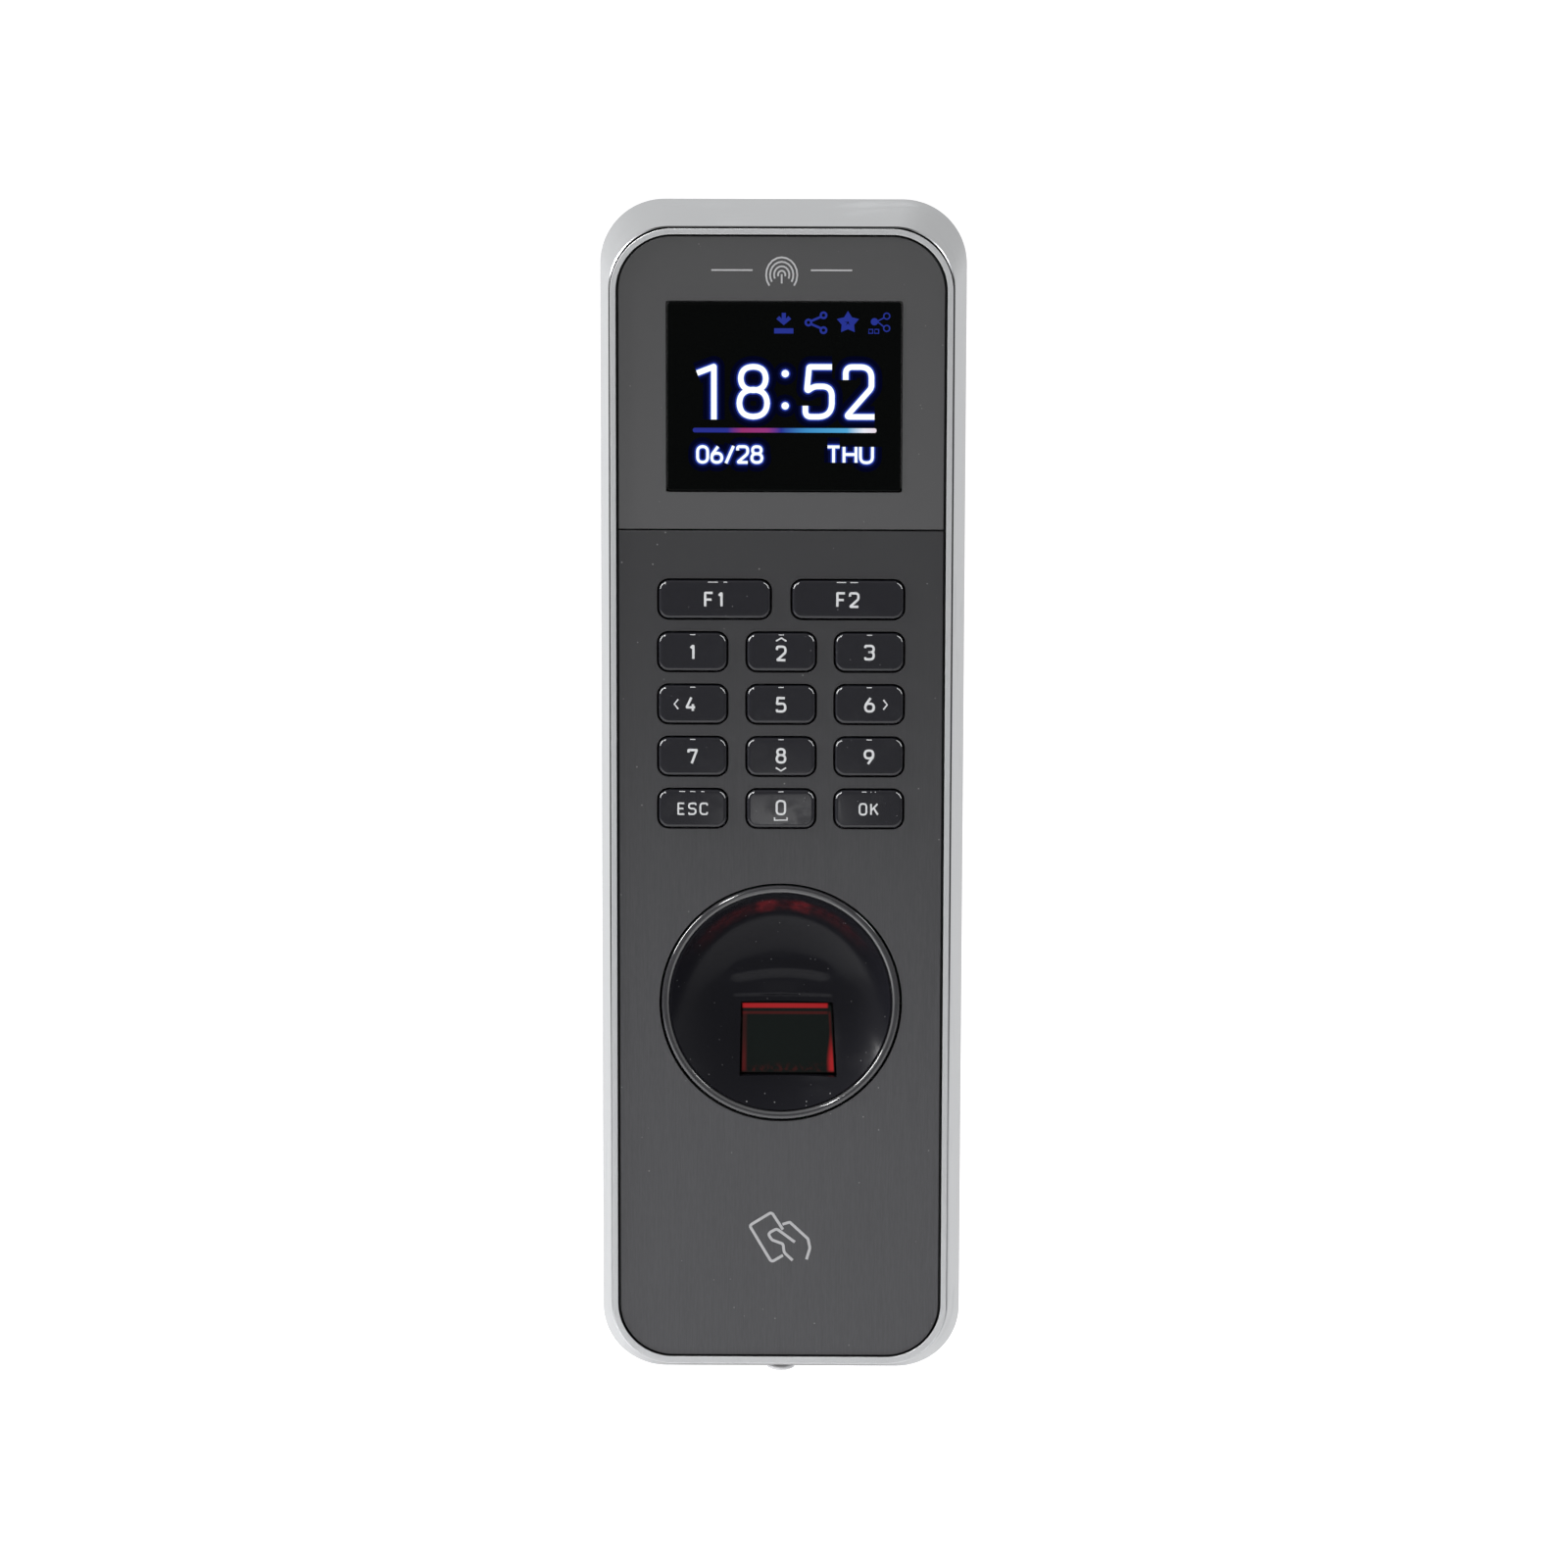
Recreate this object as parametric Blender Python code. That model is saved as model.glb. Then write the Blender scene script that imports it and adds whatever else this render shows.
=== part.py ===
"""Wall-mounted fingerprint scanner terminal with a keypad, a small display and a card reader.

Metres, +Z up.  The origin is the middle of the wall bracket's rear face: the wall is the plane
y = 0, the terminal faces -Y, and "depth" is measured backwards from the front of the silver ring.
"""
import math

import bmesh
import bpy
from mathutils import Vector

# ---------------------------------------------------------------- driving dimensions
FACE_DEPTH = 0.0396            # front of the ring to the wall
RING_HALF_WIDTH = 0.02604      # outer edge of the front ring
RING_TOP = 0.09279
RING_BOTTOM = -0.08342
RING_RADIUS = 0.0092
REAR_HALF_WIDTH = 0.0290       # outline at the wall
REAR_TOP = 0.09515
REAR_BOTTOM = -0.09515
REAR_RADIUS = 0.0102
GAP = 0.0003                   # clearance between touching pieces
CORNER_STEPS = 5
ROUND_STEPS = 20

RING_WIDTH = 0.00115
RING_LIP_DEPTH = 0.0008
PLATE_FRONT = 0.00045          # depth of both dark front plates
PLATE_THICKNESS = 0.0010
PLATE_SPLIT_Z = 0.04697        # line between the display panel and the keypad plate
PLATE_SPLIT_GAP = 0.00026

TRAY_FLOOR_FRONT = PLATE_FRONT + PLATE_THICKNESS + GAP
TRAY_FLOOR_BACK = TRAY_FLOOR_FRONT + 0.0015
TRAY_SKIRT_BACK = 0.0060
TRAY_SKIRT_INSET = 0.00064     # skirt's outer face, in from the ring's outline
TRAY_WALL = 0.0015

HOUSING_FRONT = RING_LIP_DEPTH + GAP
HOUSING_BACK = FACE_DEPTH - GAP
HOUSING_FRONT_STEP = 0.00033   # the housing stands this far outside the ring at the front
HOUSING_OPENING_INSET = 0.00034
HOUSING_WALL = 0.0021
LEDGE_FRONT = 0.0274
LEDGE_BACK = 0.0294
LEDGE_WIDTH = 0.0080
RECESS_WALL = 0.0020
OVERLAP = 0.0005               # how far the parts of one casting run into each other
SMALL_EDGE = 0.0002            # chamfer on crisp edges
TRAY_FLOOR_INSET = 0.0060
KEYPAD_OPENING = (-0.0203, 0.0203, 0.0002, 0.0403)
BOSS_RADIUS = 0.0023
BOSS_LENGTH = 0.0040
BOSS_SKIN = 0.0006             # metal left at the closed end of a boss
LUG_FRONT = 0.0070
LUG_BACK = 0.0095
LUG_HALF_WIDTH = 0.0050
LUG_SPANS = ((0.0861, 0.0931), (-0.0852, -0.0764))
LUG_BOSS_RADIUS = 0.0022
LUG_BORE_FRONT = 0.0039
HOOK_RIB_COLUMNS = (-0.0150, 0.0080)
HOOK_RIB_WIDTH = 0.0070
HOOK_RIB_TOP = 0.0935
HOOK_RIB_FRONT = 0.0358
HOOK_RIB_BACK = 0.0374
LOCK_PAD = (-0.0050, 0.0050, -0.0931, -0.0909, 0.0335, 0.0386)
LOCK_BORE_START = -0.0971
LOCK_BORE_HEAD = 0.0027
LOCK_BORE_HEAD_LENGTH = 0.0045
LOCK_BORE_SHANK = 0.0015
LOCK_BORE_LENGTH = 0.0070
FRAME_SCREWS = (("frame_screw_top", (0.0, 0.0886)), ("frame_screw_bottom", (0.0, -0.0789)))

# display
SCREEN_CENTRE = (0.00042, 0.06720)
SCREEN_WIDTH = 0.03524
SCREEN_HEIGHT = 0.02844
SCREEN_RADIUS = 0.0003
WINDOW_FRONT = 0.0003
WINDOW_FLANGE = 0.0018
WINDOW_FLANGE_THICKNESS = 0.0008
LCD_WIDTH = 0.0462
LCD_HEIGHT = 0.0347
LCD_THICKNESS = 0.00245
LCD_SHIFT_X = -0.0002
LCD_RADIUS = 0.0005
SCREEN_CORNER_EASE = 0.0006
SCREEN_HOLE_RADIUS = 0.0004
GASKET_THICKNESS = 0.0005
GASKET_MARGIN = 0.0002

# keypad
KEY_COLUMNS = (-0.01343, 0.00006, 0.01350)
KEY_TOP_ROW_Z = 0.03636
KEY_PITCH_Z = 0.00806
KEY_CUTOUT = (0.0109, 0.00635)
FUNCTION_CUTOUT = (0.01745, 0.00635)
FUNCTION_COLUMNS = (-0.01010, 0.01018)
KEY_RADIUS = 0.0018
KEY_CLEARANCE = 0.00025
KEY_FLANGE = 0.0005
KEY_FLANGE_THICKNESS = 0.0006
KEY_BEVEL = 0.0005
DIGIT_ROWS = (("1", "2", "3"), ("4", "5", "6"), ("7", "8", "9"), ("esc", "0", "ok"))
KEY_TRAVEL = 0.0011
KEY_CROWN = 0.00012
KEY_CROWN_SHARE = 0.4
DOME_MARGIN = (0.0040, 0.0025)
DOME_RADIUS = 0.0008
MAT_OUTLINE = (-0.0215, 0.0215, -0.0012, 0.0417)
KEYPAD_BOARD_OUTLINE = (-0.0218, 0.0218, -0.0015, 0.0420)
SHEET_RADIUS = 0.0010
MAT_BASE_FRONT = 0.0046
MAT_BASE_BACK = 0.0054
KEYPAD_BOARD_FRONT = 0.0057
KEYPAD_BOARD_BACK = 0.0069

# finger sensor
SENSOR_X = 0.0001
SENSOR_Z = -0.0262
SENSOR_CUTOUT_RADIUS = 0.01866
LIGHT_RING_OUTER = 0.01840
LIGHT_RING_INNER = 0.01715
BOWL_RADIUS = 0.01685
BOWL_DEPTH = 0.0068
BOWL_WALL = 0.0013
BOWL_FLANGE_RADIUS = 0.0205
BOWL_FLANGE_FRONT = TRAY_FLOOR_BACK + GAP
BOWL_FLANGE_BACK = BOWL_FLANGE_FRONT + 0.0010
BOWL_POWER = 2.9               # how flat the bowl's floor is, on its left and right
BOWL_POWER_SWING = 1.3         # more above the middle and less below it
BOWL_BACK_SHARE = 0.985
BOWL_STEPS = 36
BOWL_RINGS = 9
GLASS_TOP = -0.00135           # heights from the bowl's centre
GLASS_BOTTOM = -0.0118
GLASS_TOP_WIDTH = 0.0134
GLASS_BOTTOM_WIDTH = 0.0146
GLASS_SHIFT_X = 0.00115
GLASS_RECESS = 0.0006
GLASS_BACK = 0.0098
GLASS_EDGE = 0.0010
GLASS_OPENING = (0.0010, 0.0120)
MODULE_HALF_WIDTH = 0.0092
MODULE_SPAN = (-0.0135, 0.0035)
SENSOR_BOARD_HALF_WIDTH = 0.0110
SENSOR_BOARD_SPAN = (-0.0150, 0.0060)
SENSOR_MODULE_BACK = 0.0175
SENSOR_BOARD_BACK = 0.0190

# boards and posts
POST_RADIUS = 0.0024
POST_BACK = 0.0210
POST_PLACES = ((-0.0210, 0.0465), (0.0210, 0.0465), (-0.0210, -0.0453), (0.0210, -0.0453))
MAIN_BOARD_FRONT = POST_BACK + GAP
MAIN_BOARD_BACK = MAIN_BOARD_FRONT + 0.0016
MAIN_BOARD_HALF_WIDTH = 0.0235
MAIN_BOARD_TOP = 0.0530
MAIN_BOARD_BOTTOM = -0.0520
ON_BOARD = MAIN_BOARD_BACK + GAP
MAIN_BOARD_RADIUS = 0.0015
POST_BORE_FRONT = 0.0140
ANTENNA_OUTLINE = (-0.0215, 0.0215, -0.0755, -0.0485)
ANTENNA_WINDOW = (-0.0120, 0.0120, -0.0680, -0.0560)
ANTENNA_THICKNESS = 0.0010
BUZZER_PLACE = (-0.0120, 0.0100)
BUZZER_RADIUS = 0.0050
BUZZER_HEIGHT = 0.0055
CELL_PLACE = (-0.0080, 0.0330)
CELL_RADIUS = 0.0100
CELL_THICKNESS = 0.0032
CELL_HOLDER_RADIUS = 0.0118
CELL_HOLDER_FLOOR = 0.0010
CELL_HOLDER_RIM = 0.0026
CELL_STEPS = 28
JACK = (-0.0170, -0.0010, -0.0490, -0.0357)
JACK_BACK = 0.0360
JACK_CAVITY = (-0.0150, -0.0030, -0.0465, -0.0380)
JACK_CAVITY_FRONT = 0.0245
TERMINALS = (("power_terminal", 2, -0.0490), ("signal_terminal", 3, -0.0400))
TERMINAL_LEFT = 0.0020
TERMINAL_PITCH = 0.0050
TERMINAL_HEIGHT = 0.0080
TERMINAL_BACK = 0.0338
WIRE_HOLE_HALF = 0.0014
WIRE_HOLE_LIFT = 0.0012
WIRE_HOLE_FRONT = 0.0290
CLAMP_HOLE_RADIUS = 0.0013
CLAMP_HOLE_DROP = 0.0020
CLAMP_HOLE_FRONT = 0.0325
RIBBON_HALF_THICKNESS = 0.00012
RIBBON_STEPS = 8

# rear
SEAL_FRONT = LEDGE_BACK + GAP
SEAL_BACK = SEAL_FRONT + 0.0010
COVER_FRONT = SEAL_BACK + GAP
COVER_BACK = COVER_FRONT + 0.0020
COVER_SCREW_X = 0.0222
COVER_SCREW_ROWS = (0.0780, 0.0, -0.0780)
COVER_WINDOW = (-0.0185, 0.0185, -0.0510, -0.0160)
BRACKET_THICKNESS = 0.0018
BRACKET_FRONT = FACE_DEPTH - BRACKET_THICKNESS
BRACKET_WINDOW = (-0.0160, 0.0160, -0.0500, -0.0170)
BRACKET_HALF_WIDTH = 0.0235
BRACKET_TOP = 0.0861
BRACKET_BOTTOM = -0.0906
BOX_SCREW_ROWS = (0.00875, -0.07475)     # 83.5 mm apart, about the cable window's centre
WALL_SCREW_PLACES = ((-0.0150, 0.0700), (0.0150, 0.0700))
TAMPER_PLACE = (0.0120, 0.0120)
TAMPER_TRAVEL = 0.0012
TAMPER_BODY_HALF = 0.0035
TAMPER_BODY_SHORT = 0.0014     # body ends this far in front of the cover
TAMPER_BORE = 0.0018
TAMPER_BORE_FRONT = 0.0256
PLUNGER_RADIUS = 0.0014
PLUNGER_TIP_RADIUS = 0.0009
PLUNGER_TIP = 0.0006
COVER_PLUNGER_HOLE = 0.0019
COVER_WINDOW_RADIUS = 0.0020
SEAL_WIDTH = 0.0014
BRACKET_RADIUS = 0.0050
BRACKET_WINDOW_RADIUS = 0.0030
WALL_SCREW_RADIUS = 0.00225
BRACKET_SHEET = 0.0015
LIP_FRONT = 0.0339
LIP_TOP = 0.0886
LIP_HALF_WIDTH = 0.0180
TAB_FRONT = 0.0342
TAB_HALF_WIDTH = 0.0060
SCREW_SHANK = 0.0010
SCREW_BORE = 0.0013
SCREW_HEAD = 0.0020
SCREW_HEAD_HEIGHT = 0.0014
SCREW_TIP = 0.0006
SCREW_CROWN = 0.0005
COVER_SCREW_REACH = 0.0028
BOARD_SCREW_TIP = 0.0148
FRAME_SCREW_TIP = 0.0044
LOCK_SCREW_DEPTH = 0.0360
LOCK_SCREW_START = -0.0939
LOCK_SCREW_HEAD = 0.0023
LOCK_SCREW_HEAD_HEIGHT = 0.0010
LOCK_SCREW_SHANK = 0.0012
LOCK_SCREW_LENGTH = 0.0065

# ---------------------------------------------------------------- finishes
SATIN_SILVER = ("satin_silver", (0.62, 0.63, 0.64), 0.34, 0.9)
SILVER_PAINT = ("silver_paint", (0.66, 0.67, 0.68), 0.38, 0.6)
DARK_BRUSHED = ("dark_brushed_metal", (0.075, 0.075, 0.078), 0.42, 0.8)
DARK_SATIN = ("dark_satin_panel", (0.062, 0.062, 0.064), 0.45, 0.1)
GLOSS_BLACK = ("gloss_black", (0.012, 0.012, 0.015), 0.10, 0.0)
BLACK_PLASTIC = ("black_plastic", (0.02, 0.02, 0.022), 0.50, 0.0)
SCREEN_BLACK = ("screen_black", (0.004, 0.004, 0.006), 0.06, 0.0)
CLEAR_LENS = ("clear_lens", (0.16, 0.16, 0.17), 0.08, 0.0)
SENSOR_GLASS = ("sensor_glass", (0.03, 0.005, 0.006), 0.05, 0.0)
RUBBER_GREY = ("grey_rubber", (0.16, 0.16, 0.16), 0.75, 0.0)
BOARD_GREEN = ("board_green", (0.02, 0.11, 0.05), 0.45, 0.0)
STEEL = ("steel", (0.55, 0.55, 0.56), 0.32, 1.0)
ZINC_STEEL = ("zinc_plated_steel", (0.52, 0.53, 0.55), 0.38, 1.0)
TERMINAL_GREEN = ("terminal_green", (0.02, 0.20, 0.07), 0.45, 0.0)
CABLE_WHITE = ("cable_white", (0.72, 0.72, 0.70), 0.5, 0.0)


def y_at(depth):
    return depth - FACE_DEPTH


# ---------------------------------------------------------------- outlines in (x, z)
def corner_arc(cx, cz, radius, start_quarter, steps):
    angles = [(start_quarter + step / steps) * math.pi / 2 for step in range(steps + 1)]
    return [(cx + radius * math.cos(a), cz + radius * math.sin(a)) for a in angles]


def rounded_outline(x0, x1, z0, z1, top_radius, bottom_radius=None, steps=CORNER_STEPS):
    """Counter-clockwise outline of a rectangle with round corners; a radius of 0 is a plain corner."""
    bottom_radius = top_radius if bottom_radius is None else bottom_radius
    corners = (
        (x1, z1, -1, -1, top_radius, 0),
        (x0, z1, 1, -1, top_radius, 1),
        (x0, z0, 1, 1, bottom_radius, 2),
        (x1, z0, -1, 1, bottom_radius, 3),
    )
    points = []
    for x, z, side_x, side_z, radius, quarter in corners:
        if radius > 0:
            points += corner_arc(x + side_x * radius, z + side_z * radius, radius, quarter, steps)
        else:
            points.append((x, z))
    return points


def centred_outline(centre, size, radius, grow=0.0, steps=3):
    half_x = size[0] / 2 + grow
    half_z = size[1] / 2 + grow
    return rounded_outline(centre[0] - half_x, centre[0] + half_x, centre[1] - half_z,
                           centre[1] + half_z, radius + grow, steps=steps)


def circle_outline(centre, radius, steps=ROUND_STEPS):
    angles = [2 * math.pi * step / steps for step in range(steps)]
    return [(centre[0] + radius * math.cos(a), centre[1] + radius * math.sin(a)) for a in angles]


def body_outline(depth, inset, top_cut=None, bottom_cut=None):
    """The terminal's outline at a depth, moved in by inset; a cut ends it square at that height."""
    share = depth / FACE_DEPTH
    half = RING_HALF_WIDTH + (REAR_HALF_WIDTH - RING_HALF_WIDTH) * share - inset
    top = RING_TOP + (REAR_TOP - RING_TOP) * share - inset
    bottom = RING_BOTTOM + (REAR_BOTTOM - RING_BOTTOM) * share + inset
    radius = max(RING_RADIUS + (REAR_RADIUS - RING_RADIUS) * share - inset, 0.0015)
    if top_cut is not None:
        return rounded_outline(-half, half, bottom, top_cut, 0, radius)
    if bottom_cut is not None:
        return rounded_outline(-half, half, bottom_cut, top, radius, 0)
    return rounded_outline(-half, half, bottom, top, radius)


# ---------------------------------------------------------------- solids
def finish_solid(bm):
    bmesh.ops.recalc_face_normals(bm, faces=bm.faces[:])
    return bm


def ring_stack(sections, closed=False):
    """Skin through (depth, outline) sections; a closed stack is a tube wall, an open one is capped."""
    bm = bmesh.new()
    rings = [[bm.verts.new((x, y_at(depth), z)) for x, z in outline] for depth, outline in sections]
    pairs = list(zip(rings, rings[1:]))
    if closed:
        pairs.append((rings[-1], rings[0]))
    else:
        bm.faces.new(rings[0])
        bm.faces.new(list(reversed(rings[-1])))
    for near, far in pairs:
        for i in range(len(near)):
            bm.faces.new((near[i - 1], near[i], far[i], far[i - 1]))
    return finish_solid(bm)


def plate(outline, holes, front, back, pads=()):
    """Flat plate between two depths with through holes; pads are (outline, depth) raised in front."""
    bm = bmesh.new()
    rims = [[bm.verts.new((x, y_at(front), z)) for x, z in loop]
            for loop in [outline, *holes, *[pad for pad, _ in pads]]]
    edges = [bm.edges.new((rim[i - 1], rim[i])) for rim in rims for i in range(len(rim))]
    filled = bmesh.ops.triangle_fill(bm, edges=edges, use_beauty=True)["geom"]
    front_faces = [item for item in filled if isinstance(item, bmesh.types.BMFace)]
    back_of = {v: bm.verts.new((v.co.x, y_at(back), v.co.z)) for rim in rims for v in rim}
    for face in front_faces:
        bm.faces.new([back_of[v] for v in reversed(face.verts)])
    through = rims[:1 + len(holes)]
    for rim in through:
        for i in range(len(rim)):
            bm.faces.new((rim[i - 1], rim[i], back_of[rim[i]], back_of[rim[i - 1]]))
    for rim, (_, depth) in zip(rims[1 + len(holes):], pads):
        raised = [bm.verts.new((v.co.x, y_at(depth), v.co.z)) for v in rim]
        bm.faces.new(raised)
        bm.faces.new([back_of[v] for v in rim])
        for i in range(len(rim)):
            bm.faces.new((rim[i - 1], rim[i], raised[i], raised[i - 1]))
    return finish_solid(bm)


def block(x0, x1, z0, z1, front, back):
    return ring_stack([(front, rounded_outline(x0, x1, z0, z1, 0)),
                       (back, rounded_outline(x0, x1, z0, z1, 0))])


def turned(profile, centre, steps=ROUND_STEPS):
    """Solid of revolution about the depth axis; profile is (radius, depth), a zero radius is a pole."""
    bm = bmesh.new()
    rings = []
    for radius, depth in profile:
        if radius == 0:
            rings.append([bm.verts.new((centre[0], y_at(depth), centre[1]))] * steps)
        else:
            rings.append([bm.verts.new((x, y_at(depth), z))
                          for x, z in circle_outline(centre, radius, steps)])
    for near, far in zip(rings, rings[1:] + rings[:1]):
        for i in range(steps):
            corners = list(dict.fromkeys((near[i - 1], near[i], far[i], far[i - 1])))
            if len(corners) > 2:
                bm.faces.new(corners)
    return finish_solid(bm)


def joined(pieces):
    """One mesh out of several that don't touch, for use as a Boolean operand."""
    bm = bmesh.new()
    for piece in pieces:
        mesh = bpy.data.meshes.new("piece")
        piece.to_mesh(mesh)
        piece.free()
        bm.from_mesh(mesh)
        bpy.data.meshes.remove(mesh)
    return bm


def turned_to_z(bm, height_from_depth):
    """Lays a solid turned about the depth axis along Z: its front end points down."""
    for v in bm.verts:
        x, y, z = v.co
        v.co = (x, y_at(LOCK_SCREW_DEPTH) + z, height_from_depth + (y - y_at(0)))
    return finish_solid(bm)


# ---------------------------------------------------------------- objects
def finish_material(finish):
    name, colour, roughness, metallic = finish
    material = bpy.data.materials.get(name)
    if material is None:
        material = bpy.data.materials.new(name)
        material.use_nodes = True
        shader = material.node_tree.nodes["Principled BSDF"]
        shader.inputs["Base Color"].default_value = (*colour, 1.0)
        shader.inputs["Roughness"].default_value = roughness
        shader.inputs["Metallic"].default_value = metallic
        material.diffuse_color = (*colour, 1.0)
    return material


def add_object(name, bm, finish, origin=(0.0, 0.0, 0.0), parent=None, smooth=False):
    bmesh.ops.translate(bm, verts=bm.verts[:], vec=-Vector(origin))
    mesh = bpy.data.meshes.new(name)
    bm.to_mesh(mesh)
    bm.free()
    mesh.materials.append(finish_material(finish))
    if smooth:
        mesh.shade_smooth()
        mesh.set_sharp_from_angle(angle=math.radians(35))
    obj = bpy.data.objects.new(name, mesh)
    obj.location = origin
    obj.parent = parent
    bpy.context.collection.objects.link(obj)
    return obj


def add_tool(name, bm):
    obj = add_object(name, bm, BLACK_PLASTIC)
    obj.hide_render = True
    obj.display_type = "WIRE"
    return obj


def combine(obj, tool, operation):
    modifier = obj.modifiers.new(tool.name, "BOOLEAN")
    modifier.operation = operation
    modifier.object = tool


# ---------------------------------------------------------------- casing
def cover_screw_places():
    return [(side * COVER_SCREW_X, z) for z in COVER_SCREW_ROWS for side in (-1, 1)]


def main_housing():
    """Die-cast shell that widens towards the wall, open at both ends, with a ledge for the cover."""
    bm = ring_stack([
        (HOUSING_FRONT, body_outline(HOUSING_FRONT, -HOUSING_FRONT_STEP)),
        (HOUSING_BACK, body_outline(HOUSING_BACK, 0.0)),
        (HOUSING_BACK, body_outline(HOUSING_BACK, RECESS_WALL)),
        (LEDGE_BACK, body_outline(LEDGE_BACK, RECESS_WALL)),
        (LEDGE_BACK, body_outline(LEDGE_BACK, LEDGE_WIDTH)),
        (LEDGE_FRONT, body_outline(LEDGE_FRONT, LEDGE_WIDTH)),
        (LEDGE_FRONT, body_outline(LEDGE_FRONT, HOUSING_WALL)),
        (HOUSING_FRONT, body_outline(HOUSING_FRONT, HOUSING_OPENING_INSET)),
    ], closed=True)
    housing = add_object("main_housing", bm, SILVER_PAINT, smooth=True)

    boss_front = LEDGE_FRONT - BOSS_LENGTH
    bosses = [turned([(0, boss_front), (BOSS_RADIUS, boss_front),
                      (BOSS_RADIUS, LEDGE_FRONT + OVERLAP), (0, LEDGE_FRONT + OVERLAP)], place)
              for place in cover_screw_places()]
    lugs = [block(-LUG_HALF_WIDTH, LUG_HALF_WIDTH, z0, z1, LUG_FRONT, LUG_BACK)
            for z0, z1 in LUG_SPANS]
    hook_ribs = [block(x, x + HOOK_RIB_WIDTH, BRACKET_TOP + GAP, HOOK_RIB_TOP, HOOK_RIB_FRONT,
                       HOOK_RIB_BACK) for x in HOOK_RIB_COLUMNS]
    lock_pad = [block(*LOCK_PAD)]
    combine(housing, add_tool("housing_bosses", joined(bosses + lugs + hook_ribs + lock_pad)),
            "UNION")

    bores = [turned([(0, boss_front + BOSS_SKIN), (SCREW_BORE, boss_front + BOSS_SKIN),
                     (SCREW_BORE, LEDGE_BACK + OVERLAP), (0, LEDGE_BACK + OVERLAP)], place)
             for place in cover_screw_places()]
    bores += [turned([(0, LUG_FRONT - OVERLAP), (SCREW_BORE, LUG_FRONT - OVERLAP),
                      (SCREW_BORE, LUG_BACK + OVERLAP), (0, LUG_BACK + OVERLAP)], place)
              for _, place in FRAME_SCREWS]
    lock_bore = turned([(0, 0), (LOCK_BORE_HEAD, 0), (LOCK_BORE_HEAD, LOCK_BORE_HEAD_LENGTH),
                        (LOCK_BORE_SHANK, LOCK_BORE_HEAD_LENGTH),
                        (LOCK_BORE_SHANK, LOCK_BORE_LENGTH), (0, LOCK_BORE_LENGTH)], (0.0, 0.0))
    bores.append(turned_to_z(lock_bore, LOCK_BORE_START))
    combine(housing, add_tool("housing_bores", joined(bores)), "DIFFERENCE")


def front_frame():
    """Silver ring and the tray behind it, which carries the plates, the keypad and the boards."""
    opening = body_outline(0, RING_WIDTH)
    skirt = body_outline(0, TRAY_SKIRT_INSET)
    skirt_inner = body_outline(0, TRAY_SKIRT_INSET + TRAY_WALL)
    floor_hole = body_outline(0, TRAY_FLOOR_INSET)
    tray = ring_stack([
        (SMALL_EDGE / 2, body_outline(0, SMALL_EDGE / 2)),
        (RING_LIP_DEPTH, body_outline(0, 0.0)),
        (RING_LIP_DEPTH, skirt),
        (TRAY_SKIRT_BACK, skirt),
        (TRAY_SKIRT_BACK, skirt_inner),
        (TRAY_FLOOR_BACK, skirt_inner),
        (TRAY_FLOOR_BACK, floor_hole),
        (TRAY_FLOOR_FRONT, floor_hole),
        (TRAY_FLOOR_FRONT, opening),
        (SMALL_EDGE, opening),
        (0.0, body_outline(0, RING_WIDTH - SMALL_EDGE)),
        (0.0, body_outline(0, SMALL_EDGE)),
    ], closed=True)
    frame = add_object("front_frame", tray, SATIN_SILVER, smooth=True)

    holes = [
        centred_outline(SCREEN_CENTRE, (SCREEN_WIDTH, SCREEN_HEIGHT), SCREEN_HOLE_RADIUS,
                        grow=WINDOW_FLANGE + GAP),
        rounded_outline(*KEYPAD_OPENING, SHEET_RADIUS, steps=2),
        circle_outline((SENSOR_X, SENSOR_Z), LIGHT_RING_OUTER + GAP, steps=40),
    ]
    floor = plate(body_outline(0, TRAY_FLOOR_INSET - OVERLAP), holes, TRAY_FLOOR_FRONT,
                  TRAY_FLOOR_BACK)
    combine(frame, add_tool("tray_floor", floor), "UNION")

    root = TRAY_FLOOR_BACK - OVERLAP
    posts = [turned([(0, root), (POST_RADIUS, root), (POST_RADIUS, POST_BACK), (0, POST_BACK)],
                    place) for place in POST_PLACES]
    lug_bosses = [turned([(0, root), (LUG_BOSS_RADIUS, root), (LUG_BOSS_RADIUS, LUG_FRONT - GAP),
                          (0, LUG_FRONT - GAP)], place) for _, place in FRAME_SCREWS]
    combine(frame, add_tool("tray_posts", joined(posts + lug_bosses)), "UNION")

    bores = [turned([(0, POST_BORE_FRONT), (SCREW_BORE, POST_BORE_FRONT),
                     (SCREW_BORE, POST_BACK + OVERLAP), (0, POST_BACK + OVERLAP)], place)
             for place in POST_PLACES]
    bores += [turned([(0, LUG_BORE_FRONT), (SCREW_BORE, LUG_BORE_FRONT), (SCREW_BORE, LUG_FRONT),
                      (0, LUG_FRONT)], place) for _, place in FRAME_SCREWS]
    combine(frame, add_tool("tray_bores", joined(bores)), "DIFFERENCE")


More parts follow.
